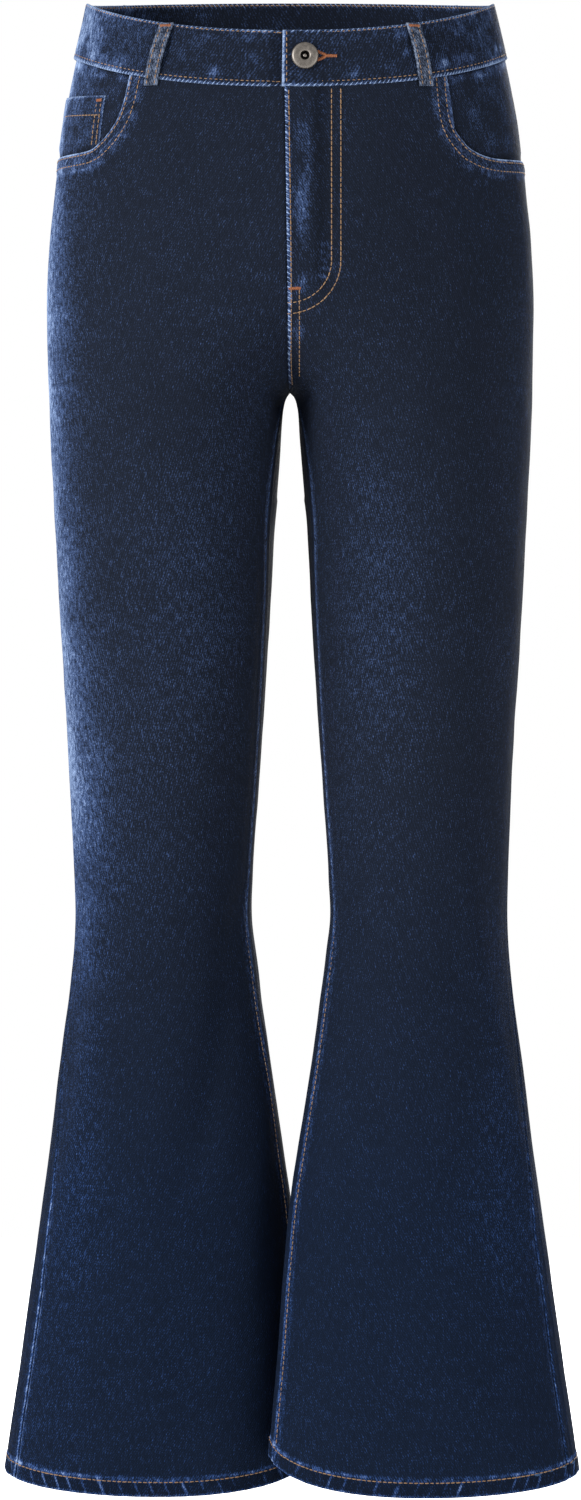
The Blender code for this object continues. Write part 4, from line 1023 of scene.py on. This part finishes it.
lapTableAngles = np.radians(np.linspace(-12, 12, 121))
lapTableX = trunkPoint(lapTableAngles, np.full(121, -waist["frontDrop"] - waist["bandHeight"] / 2))[0]
lapAngle = float(np.interp(band["lapEndX"], lapTableX, lapTableAngles))


def bandDetail(angle, fromTop, fromSeam):
    # puckers, ropes and wear on the outside of the waistband, and paler sides that are partly painted
    # highlight
    along = angle * band["radius"]
    seamRope, topRope = ropes(along, fromSeam, 3.2, 101), ropes(along, fromTop, 5.4, 102)
    blotch = np.clip(softNoise(along, fromTop * 1.6, 17, 103) + 0.2, 0, 1)
    height = 0.28 * softNoise(along, fromTop * 0.6, 12, 104)
    height += ridges(fromTop - band["edgeRow"], relief["bandRows"])
    height += ridges(fromSeam - band["seamRow"], relief["bandRows"])
    height += 0.3 * (seamRope - 0.4) * hump(fromSeam, 3.0) + 0.2 * (topRope - 0.4) * hump(fromTop - 3.5, 3)
    wear = 0.13 + 0.19 * blotch * (0.5 + 0.8 * softNoise(along, fromTop * 0.7, 5, 105))
    wear += 0.40 * hump(fromSeam, 1.1) + 0.35 * hump(fromTop, 1.0) + 0.12 * hump(fromTop - 6, 3) * topRope
    # towards the sides it is paler, mostly on the wearer's right: partly fading, partly painted highlight
    around = np.abs((np.degrees(angle) + 180) % 360 - 180)
    toSideFadeAndLight = np.where(np.sin(angle) < 0, 0.42, 0.10) * hump(around - 88, 40)
    wear += toSideFadeAndLight * (0.7 + 0.4 * softNoise(along, fromTop * 1.4, 12, 108))
    tufts = np.clip(softNoise(along, 0 * along, 11, 107) * 1.6 - 0.3, 0, 1) * hump(fromSeam - 9, 4.0)
    tuftGrain = 0.5 + 0.9 * softNoise(along, fromTop * 0.5, 5, 109)
    wear += 0.26 * tufts * tuftGrain * (np.cos(angle) > -0.2)
    atTop = fromTop < 12
    rope = np.where(atTop, 0.8 * hump(fromTop - 0.4, 1.3), hump(fromSeam - 0.6, 1.5))
    phase = np.where(atTop, (along + 0.8 * fromTop) / 3.4, (along - 0.8 * fromSeam) / 2.9)
    return height, marksOf(wear, 0.08 * softNoise(along, fromTop, 40, 106) - 0.06, rope, phase)


def bandDive(angle):
    # the end that lies under the lap goes in behind it
    return band["dive"] * ease((angle - (2 * np.pi + lapAngle - 0.05)) / 0.04)


def makeWaistband():
    nearEnd = [lapAngle, lapAngle + 0.004, lapAngle + 0.012]
    over = np.concatenate([nearEnd, np.linspace(lapAngle + 0.02, 2 * np.pi + lapAngle, 420)[:-1]])
    angles = np.concatenate([over, np.linspace(2 * np.pi + lapAngle, 2 * np.pi + 0.11, 14)])
    height = waist["bandHeight"] - seamGap / 2
    # round the section: outside from the seam up, over the top edge, down the inside, under the seam edge
    section = [(1.0, u) for u in np.linspace(0.02, 0.98, 22)] + [(0.75, 0.997), (0.25, 0.997)]
    section += [(0.0, u) for u in np.linspace(0.98, 0.02, 12)] + [(0.25, 0.003), (0.75, 0.003)]
    outward, fromSeam = (np.array(column)[:, None] for column in zip(*section))
    fromSeam = fromSeam * height
    z = (waistEdge(angles) - height)[None, :] + fromSeam
    grid = np.broadcast_to(angles, z.shape)
    detail, marks = bandDetail(grid, height - fromSeam + 0 * z, fromSeam + 0 * z)
    lapEdge = np.where(grid < 1, trunkPoint(grid, z)[0] - band["lapEndX"], 99.0)
    onEdge = hump(lapEdge, 1.6)
    # the inside is less worn, and the lap's end ropes
    marks[..., 0] = np.clip(marks[..., 0] * (0.7 + 0.3 * outward) + 0.6 * onEdge, 0, 1)
    edgeRope = np.stack([onEdge, (z + lapEdge) / 3.6], axis=-1)
    marks[..., 2:] = np.where((onEdge > 0.3)[..., None], edgeRope, marks[..., 2:])
    offset = band["lift"] - band["wall"] * (1 - outward) + detail * outward - bandDive(grid)
    offset += (0.5 * hump(lapEdge, 30) - 0.45 * hump(lapEdge, 0.7)) * outward
    rows, columns = z.shape
    index = np.arange(rows * columns).reshape(rows, columns)
    ring = np.concatenate([index, index[:1]])
    corners = np.stack([ring[:-1, :-1], ring[:-1, 1:], ring[1:, 1:], ring[1:, :-1]], axis=-1)
    faces = corners.reshape(-1, 4).tolist() + [index[::-1, 0].tolist(), index[:, -1].tolist()]
    uv = np.stack([grid * band["radius"] + 1000, z + outward * 60], axis=-1)
    piece = meshPiece("waistbandCloth", bandPoint(grid, z, offset), faces, [denimFace], uv, marks)
    standFor("waistband")


def loopPoint(place, down, sideways, lift=0.0):
    # a point of a belt loop: down its length from 0 to 1, and sideways in millimetres
    topAngle, footAngle = loops["angles"][place]
    share = down * loops["down"][-1]
    middle = np.radians(topAngle + (footAngle - topAngle) * np.minimum(share, 1))
    z = waistEdge(middle) - 0.5 - share * (waist["bandHeight"] - 0.3)
    offset = band["lift"] + np.interp(share, loops["down"], loops["stand"]) + lift
    x1, y1 = trunkPoint(middle - 0.01, z)
    x2, y2 = trunkPoint(middle + 0.01, z)
    angle = middle + sideways * 0.02 / np.hypot(x2 - x1, y2 - y1)
    return bandPoint(angle, z, offset), bandNormal(angle, z)


def makeLoop(place):
    # a folded strip: flat back, two raised edges that roll over, sewn down at both ends
    half, rowAt = loops["width"] / 2, loops["rowAt"]
    rightEdge = [(1.4, 1.75), (rowAt, 1.5), (half - 1.2, 1.95), (half - 0.5, 1.75), (half + 0.1, 1.0),
                 (half, 0.2)]
    leftEdge = [(-x, lift) for x, lift in reversed(rightEdge)]
    section = leftEdge + [(0, 1.8)] + rightEdge + [(2.5, 0), (0, 0), (-2.5, 0)]
    sideways, lift = (np.array(column)[None, :] for column in zip(*section))
    down, sideways, lift = np.broadcast_arrays(np.linspace(0, 1, 46)[:, None], sideways, lift)
    thick = lift * loops["wall"] / 1.8 + 0.12 * softNoise(down * 46, sideways, 3.0, 110 + place) * (lift > 1)
    points, _ = loopPoint(place, down, sideways, thick)
    length = loops["length"]
    wear = 0.10 + 0.12 * hump(np.abs(sideways) - half + 0.6, 0.9)
    wear += 0.16 * softNoise(down * length, sideways, 2.2, 120 + place)
    wear += 0.08 * (hump(down * length, 1.5) + hump((1 - down) * length, 1.5))
    rows, columns = points.shape[:2]
    index = np.arange(rows * columns).reshape(rows, columns)
    faces = gridFaces(rows, columns, closed=True) + [index[0].tolist(), index[-1, ::-1].tolist()]
    uv = np.stack([sideways + 20 * place, down * length], axis=-1)
    piece = meshPiece(f"beltLoop{place + 1}", points, faces, [loopTwill], uv, marksOf(wear, 0.0))
    standFor(f"belt_loop_{place + 1}")


def makeButton():
    # turned rings round the rivet and over the cap
    angle, spokeCount = np.interp(button["x"], lapTableX, lapTableAngles), button["spokes"]
    normal = bandNormal(angle, button["z"])
    seat = bandPoint(angle, button["z"], band["lift"] + 0.5)
    across = np.cross([0, 0, 1.0], normal)
    across /= np.linalg.norm(across)
    turn = np.linspace(0, 2 * np.pi, spokeCount, endpoint=False)
    spokes = np.cos(turn)[:, None] * across + np.sin(turn)[:, None] * np.cross(normal, across)
    rings = [seat + normal * height + spokes * radius
             for radius, height in button["rivet"] + button["profile"]]
    points = np.concatenate([np.array(rings).reshape(-1, 3), [seat + normal * button["rivetTop"], seat]])
    floor = len(rings) * spokeCount
    faces = gridFaces(len(rings), spokeCount, closed=True)
    faces += [[floor, s, (s + 1) % spokeCount] for s in range(spokeCount)]
    last = floor - spokeCount
    faces += [[floor + 1, last + (s + 1) % spokeCount, last + s] for s in range(spokeCount)]
    piece = meshPiece("lapButton", points, faces, [agedNickel, oxidisedShadedNickel])
    # the rivet's outer slope, the hole's floor and its wall take the near-black metal: oxide, and painted
    # shade in the recess
    for face in range(spokeCount, spokeCount * (len(button["rivet"]) + 1)):
        piece.data.polygons[face].material_index = 1
    standFor("button")


makeWaistband()
for place in range(len(loops["angles"])):
    makeLoop(place)
makeButton()
print("waistband, belt loops and button made")

# thread: every row is a path over the cloth, and one Geometry Nodes tree sews stitches along it

thread = {"Pitch": 3.85, "Length": 3.0, "Radius": 0.42, "Rise": 0.42, "Sink": 0.55}
satin = {"Pitch": 0.62, "Length": 1.9, "Radius": 0.32, "Rise": 0.7, "Sink": 0.35}
# where rows run, in millimetres from their edge
rowsAt = {"mouth": (2.2, 9.0), "yoke": (1.8, 8.2), "seat": (1.9, 8.2), "coinEdge": (3.0, 7.6),
          "pocketTop": (2.0, 15.0), "inseam": 3.4, "hip": 2.0, "lapEdge": 1.9, "aboveCrotch": 6.6,
          "underHemTop": 0.4}
rows = {"tan": [], "tack": []}


def panelRow(kind, side, half, share, z, lift=0.15):
    points, normals, _ = onPanel(side, half, share, z, lift)
    rows[kind].append((points, normals))


def formRow(kind, side, half, share, z, lift):
    # a row on a piece that lies along the leg's form, at a height from it
    normal = halfNormal(side, half, share, z)
    rows[kind].append((halfPoint(side, half, share, z) + normal * np.asarray(lift)[..., None], normal))


def seamRow(side, half, edge, distance, zTop, zBottom, lift=0.15):
    z = np.linspace(zTop, zBottom, int((zTop - zBottom) / 4))
    panelRow("tan", side, half, shareFrom(side, half, edge, distance, z), z, lift)


def flyRow(kind, x, z):
    panelRow(kind, leftSide, "front", shareAtX(leftSide, "front", x, z), z, 0.2)


def pocketRow(kind, side, across, down, lift):
    x, z = pocketPlace(across, down)
    panelRow(kind, side, "back", shareAtX(side, "back", x, z), z, backPocket["lift"] + lift)


def bandRow(kind, angle, z, offset, inside=False):
    normal = bandNormal(angle, z)
    rows[kind].append((bandPoint(angle, z, offset), -normal if inside else normal))


def bandAngleAt(x, z, angles):
    # the angle at which the band reaches sideways to x
    return np.array([np.interp(reach, trunkPoint(angles, np.full(len(angles), height))[0], angles)
                     for reach, height in zip(x, z)])


def mouthRows(side):
    run = mouthRuns[side]
    path = np.column_stack([run["across"], run["z"]])
    step = np.gradient(path, axis=0)
    outward = np.column_stack([step[:, 1], -step[:, 0]]) / np.linalg.norm(step, axis=1, keepdims=True)
    for distance in rowsAt["mouth"]:
        moved = path + outward * distance
        under = moved[:, 1] < waistSeam("front", run["share"]) - 1
        moved = evenRun(moved[under & (moved[:, 0] < run["across"][-1] - 0.6)][::3], 3.0)
        panelRow("tan", side, "front", shareFrom(side, "front", "inner", *moved.T), moved[:, 1])


def backPocketRows(side):
    for distance in (backPocket["edgeRow"], backPocket["innerRow"]):
        inset, foot = distance / backPocket["wide"], 1 - distance / backPocket["tall"]
        point = (backPocket["pointAcross"], foot)
        corners = [(inset, 0.0), (inset, foot), point, (1 - inset, foot), (1 - inset, 0.0)]
        runs = [np.linspace(a, b, 24)[:-1] for a, b in zip(corners, corners[1:])]
        pocketRow("tan", side, *np.concatenate(runs + [[corners[-1]]]).T, 0.2)
    for drop in rowsAt["pocketTop"]:
        pocketRow("tan", side, np.linspace(0.02, 0.98, 40), np.full(40, drop / backPocket["tall"]), 0.35)


for side in (rightSide, leftSide):
    mouthRows(side)
    for half in ("front", "back"):
        share = np.linspace(0.004, 0.996, 90)
        z = hemEdge(side, half, share) + hem["fold"] - rowsAt["underHemTop"]
        panelRow("tan", side, half, share, z, 0.35)
    # the inseam's thread comes to the surface below the knee
    surfacing = np.interp(np.arange(117), (0, 40), (-0.7, 0.1))
    seamRow(side, "front", "inner", rowsAt["inseam"], -600, -1068, surfacing)
    seamRow(side, "back", "side", rowsAt["hip"], -82, -232)
    for distance in rowsAt["yoke"]:
        share = np.linspace(0.01, 0.985, 60)
        z = yokeEdge(share) + distance
        height, _ = yokeDetail(side, share, z, waistSeam("back", share) - z, z - yokeEdge(share))
        formRow("tan", side, "back", share, z, height + 0.15)
    backPocketRows(side)
# the seat seam is sewn on the wearer's left
for distance in rowsAt["seat"]:
    seamRow(leftSide, "back", "inner", distance, -150, -284)

# fly: the lap's edge, the two curved rows and the second short row above the crotch
lapZ = np.linspace(-76, -286, 54)
flyRow("tan", rowsAt["lapEdge"] - smooth(lapZ, flyLap, "lap"), lapZ)
for name in ("inner", "outer"):
    turn = np.linspace(0, np.pi / 2, 22)
    straight = np.linspace(-75, flyLine["turnZ"], 32)[:-1]
    curve = flyLine[name] * np.cos(turn) - flyLine["lead"] * np.sin(turn)
    curveZ = flyLine["turnZ"] - flyLine[name + "Drop"] * np.sin(turn)
    flyRow("tan", np.concatenate([np.full(31, flyLine[name]), curve]), np.concatenate([straight, curveZ]))
flyRow("tan", np.full(18, rowsAt["aboveCrotch"]), np.linspace(-222, -281, 18))

# waistband rows, outside and inside, and up the lap's end
bandAngles = np.linspace(lapAngle + 0.012, 2 * np.pi + lapAngle - 0.012, 400)
bandHeight = waist["bandHeight"]
for fromTop in (band["edgeRow"], bandHeight - band["seamRow"]):
    z = waistEdge(bandAngles) - fromTop
    detail, _ = bandDetail(bandAngles, fromTop + 0 * z, bandHeight - fromTop + 0 * z)
    bandRow("tan", bandAngles, z, band["lift"] + detail + 0.12 - bandDive(bandAngles))
    bandRow("tan", bandAngles, z, band["lift"] - band["wall"] - 0.12 + 0 * z, inside=True)
fromTop = np.linspace(band["edgeRow"] + 1, bandHeight - band["seamRow"] - 1, 14)
endZ = waistEdge(lapAngle) - fromTop
endAngles = bandAngleAt(np.full(14, band["lapEndX"] + band["lapEndRow"]), endZ, lapTableAngles)
detail, _ = bandDetail(endAngles, fromTop, bandHeight - fromTop)
bandRow("tan", endAngles, endZ, band["lift"] + detail + 0.55)


def coinRow(kind, z, fromEdge, lift):
    # a row at distances from the coin pocket's inner edge
    edge, _ = edgeDistances(rightSide, "front", 0 * z + coinShares[0], z)
    formRow(kind, rightSide, "front", shareFrom(rightSide, "front", "inner", edge + fromEdge, z), z, lift)


# coin pocket: two rows down its inner edge, and its hem row
for distance in rowsAt["coinEdge"]:
    coinRow("tan", np.linspace(coinTop[0] - 3, -109, 12), distance, -1.2)
formRow("tan", rightSide, "front", coinShares[3:-1], coinTop[3:-1] - coin["hem"], -1.15)

# belt loops: two rows down each, and a tack across the top
for place in range(len(loops["angles"])):
    for sideways in (-loops["rowAt"], loops["rowAt"]):
        rows["tan"].append(loopPoint(place, np.linspace(0.05, 0.95, 16), np.full(16, sideways), 1.42))
    rows["tack"].append(loopPoint(place, np.full(10, 0.045), np.linspace(-4.0, 4.0, 10), 1.6))

# tacks: foot of the fly, corners of the back pockets, top of the coin pocket
flyRow("tack", np.linspace(-1.0, 7.4, 10), np.full(10, -219.5))
for side in (rightSide, leftSide):
    for across in (0.03, 0.97):
        pocketRow("tack", side, np.full(10, across), np.linspace(0.005, 0.075, 10), 0.6)
coinRow("tack", np.full(8, coinTop[0] - 3.2), np.linspace(*rowsAt["coinEdge"], 8), -1.0)

# keyhole buttonhole beside the button, and the bar tack that ends it
buttonhole = {"tipX": 25.4, "mouthX": 19.8, "spread": 3.2, "tip": 0.7, "tackTo": 33.6, "z": -49.2}
for fromX, toX, spread, tip, lift in (
        (buttonhole["mouthX"], buttonhole["tipX"], -buttonhole["spread"], -buttonhole["tip"], 0.45),
        (buttonhole["mouthX"], buttonhole["tipX"], buttonhole["spread"], buttonhole["tip"], 0.45),
        (buttonhole["tipX"], buttonhole["tackTo"], 0, 0, 0.5)):
    z = buttonhole["z"] + np.linspace(spread, tip, 10)
    angle = bandAngleAt(np.linspace(fromX, toX, 10), z, np.radians(np.linspace(-12, 40, 521)))
    bandRow("tack", angle, z, band["lift"] + lift + 0 * angle)
print("thread rows laid:", {kind: len(found) for kind, found in rows.items()})


def stitchTree():
    # Sizes in metres: stitches stand a pitch apart along each path, each a bowed thread of a length
    tree = bpy.data.node_groups.new("sewStitches", "GeometryNodeTree")
    interface = tree.interface
    interface.new_socket("Geometry", in_out="INPUT", socket_type="NodeSocketGeometry")
    kinds = {**dict.fromkeys(("Pitch", "Length", "Radius", "Rise", "Sink", "Turn", "Wander"), "Float"),
             "Seed": "Int", "Thread": "Material"}
    sockets = {name: interface.new_socket(name, in_out="INPUT", socket_type=f"NodeSocket{kind}").identifier
               for name, kind in kinds.items()}
    interface.new_socket("Geometry", in_out="OUTPUT", socket_type="NodeSocketGeometry")
    given = tree.nodes.new("NodeGroupInput").outputs
    path = addNode(tree, "GeometryNodeMeshToCurve", {"Mesh": given["Geometry"]})
    spots = addNode(tree, "GeometryNodeResampleCurve", {"Curve": path, "Length": given["Pitch"]},
                    mode="LENGTH")
    # one stitch: a short bowed thread whose ends dive into the cloth
    ahead = addNode(tree, "ShaderNodeMath", {0: given["Length"], 1: 0.5}, operation="MULTIPLY")
    behind = addNode(tree, "ShaderNodeMath", {0: given["Length"], 1: -0.5}, operation="MULTIPLY")
    dive = addNode(tree, "ShaderNodeMath", {0: given["Sink"], 1: -1.0}, operation="MULTIPLY")
    start = addNode(tree, "ShaderNodeCombineXYZ", {"X": behind, "Z": dive})
    crown = addNode(tree, "ShaderNodeCombineXYZ", {"Z": given["Rise"]})
    end = addNode(tree, "ShaderNodeCombineXYZ", {"X": ahead, "Z": dive})
    bow = addNode(tree, "GeometryNodeCurveQuadraticBezier",
                  {"Resolution": 4, "Start": start, "Middle": crown, "End": end})
    ring = addNode(tree, "GeometryNodeCurvePrimitiveCircle", {"Resolution": 6, "Radius": given["Radius"]})
    tube = addNode(tree, "GeometryNodeCurveToMesh", {"Curve": bow, "Profile Curve": ring, "Fill Caps": True})
    stitch = addNode(tree, "GeometryNodeSetShadeSmooth", {"Geometry": tube, "Shade Smooth": True})
    # each stitch lies along its row, upright on the cloth, and wanders a little
    tangent = addNode(tree, "GeometryNodeInputTangent")
    outward = addNode(tree, "GeometryNodeInputNamedAttribute", {"Name": "outward"}, data_type="FLOAT_VECTOR")
    lengthwise = addNode(tree, "FunctionNodeAlignRotationToVector", {"Vector": tangent}, axis="X")
    upright = addNode(tree, "FunctionNodeAlignRotationToVector", {"Rotation": lengthwise, "Vector": outward},
                      axis="Z", pivot_axis="X")
    wander = addNode(tree, "FunctionNodeRandomValue", {2: -1.0, 3: 1.0, "Seed": given["Seed"]}, 1,
                     data_type="FLOAT")
    swing = addNode(tree, "ShaderNodeMath", {0: wander, 1: given["Wander"], 2: given["Turn"]},
                    operation="MULTIPLY_ADD")
    spin = addNode(tree, "ShaderNodeCombineXYZ", {"Z": swing})
    turned = addNode(tree, "FunctionNodeRotateRotation", {"Rotation": upright, "Rotate By": spin},
                     rotation_space="LOCAL")
    size = addNode(tree, "FunctionNodeRandomValue", {2: 0.88, 3: 1.08, "Seed": given["Seed"]}, 1,
                   data_type="FLOAT")
    sewn = addNode(tree, "GeometryNodeInstanceOnPoints",
                   {"Points": spots, "Instance": stitch, "Rotation": turned, "Scale": size})
    real = addNode(tree, "GeometryNodeRealizeInstances", {"Geometry": sewn})
    done = addNode(tree, "GeometryNodeSetMaterial", {"Geometry": real, "Material": given["Thread"]})
    addNode(tree, "NodeGroupOutput", {"Geometry": done})
    return tree, sockets


sewing, sewingInputs = stitchTree()


def sew(name, paths, look, material, turn, wander, seed):
    points, outward = (np.concatenate(columns) for columns in zip(*paths))
    edges, first = [], 0
    for path, _ in paths:
        edges += [(first + i, first + i + 1) for i in range(len(path) - 1)]
        first += len(path)
    mesh = bpy.data.meshes.new(name + "Path")
    mesh.from_pydata((points * mm).tolist(), edges, [])
    ways = mesh.attributes.new("outward", "FLOAT_VECTOR", "POINT")
    ways.data.foreach_set("vector", outward.astype(np.float32).ravel())
    path = bpy.data.objects.new(name + "Path", mesh)
    bpy.context.scene.collection.objects.link(path)
    modifier = path.modifiers.new("sew", "NODES")
    modifier.node_group = sewing
    sizes = {size: value * mm for size, value in look.items()}
    for socket, value in {**sizes, "Turn": turn, "Wander": wander, "Seed": seed, "Thread": material}.items():
        modifier[sewingInputs[socket]] = value
    graph = bpy.context.evaluated_depsgraph_get()
    made = bpy.data.meshes.new_from_object(path.evaluated_get(graph), depsgraph=graph)
    bpy.data.objects.remove(path)
    piece = bpy.data.objects.new(name, made)
    bpy.context.scene.collection.objects.link(piece)
    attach(piece, "root")
    print(name, len(made.polygons), "faces")


sew("topstitching", rows["tan"], thread, tanThread, 0.0, 0.07, 3)
sew("barTacks", rows["tack"], satin, orangeThread, np.pi / 2, 0.12, 5)
print("thread sewn")

# camera, light and floor

view = {"distance": 5.0, "middle": -0.5573, "height": 1.1205, "sensor": 36.0}
camera = bpy.data.objects.new("camera", bpy.data.cameras.new("camera"))
camera.location = (0, -view["distance"], view["middle"])
camera.rotation_euler = (np.pi / 2, 0, 0)
camera.data.sensor_fit = "VERTICAL"
camera.data.sensor_height = view["sensor"]
camera.data.lens = view["sensor"] * view["distance"] / view["height"]
bpy.context.scene.collection.objects.link(camera)
bpy.context.scene.camera = camera

lights = {
    "key": {"at": (-3.0, -2.2, 0.7), "size": 1.1, "watts": 260},
    "fill": {"at": (2.6, -2.6, -0.2), "size": 1.6, "watts": 70},
    "back": {"at": (0.8, 2.8, 0.8), "size": 1.4, "watts": 200},
}
lightsAim = Vector((0, 0, -0.55))
for name, light in lights.items():
    lamp = bpy.data.lights.new(name, "AREA")
    lamp.size, lamp.energy = light["size"], light["watts"]
    lampObject = bpy.data.objects.new(name, lamp)
    lampObject.location = light["at"]
    lampObject.rotation_euler = (lightsAim - Vector(light["at"])).to_track_quat("-Z", "Y").to_euler()
    bpy.context.scene.collection.objects.link(lampObject)

world = bpy.data.worlds.new("studio")
world.use_nodes = True
world.node_tree.nodes["Background"].inputs["Color"].default_value = (1, 1, 1, 1)
world.node_tree.nodes["Background"].inputs["Strength"].default_value = 1.0
bpy.context.scene.world = world
bpy.context.scene.view_settings.view_transform = "Standard"

floorLook = {"colour": "#F4F4F4", "roughness": 0.95, "radius": 4.0, "below": 0.10}
floorMaterial, _, floorShader = newMaterial("palePaperFloor", floorLook["roughness"])      # matt white paper
floorShader.inputs["Base Color"].default_value = linear(floorLook["colour"])
floorZ = cadLow[2] - floorLook["below"]
floorRound = [(floorLook["radius"] * np.cos(a), floorLook["radius"] * np.sin(a), floorZ)
              for a in np.linspace(0, 2 * np.pi, 96, endpoint=False)]
floorMesh = bpy.data.meshes.new("floor")
floorMesh.from_pydata(floorRound, [], [list(range(96))])
floorMesh.materials.append(floorMaterial)
floor = bpy.data.objects.new("floor", floorMesh)
bpy.context.scene.collection.objects.link(floor)
print("camera, light and floor placed")
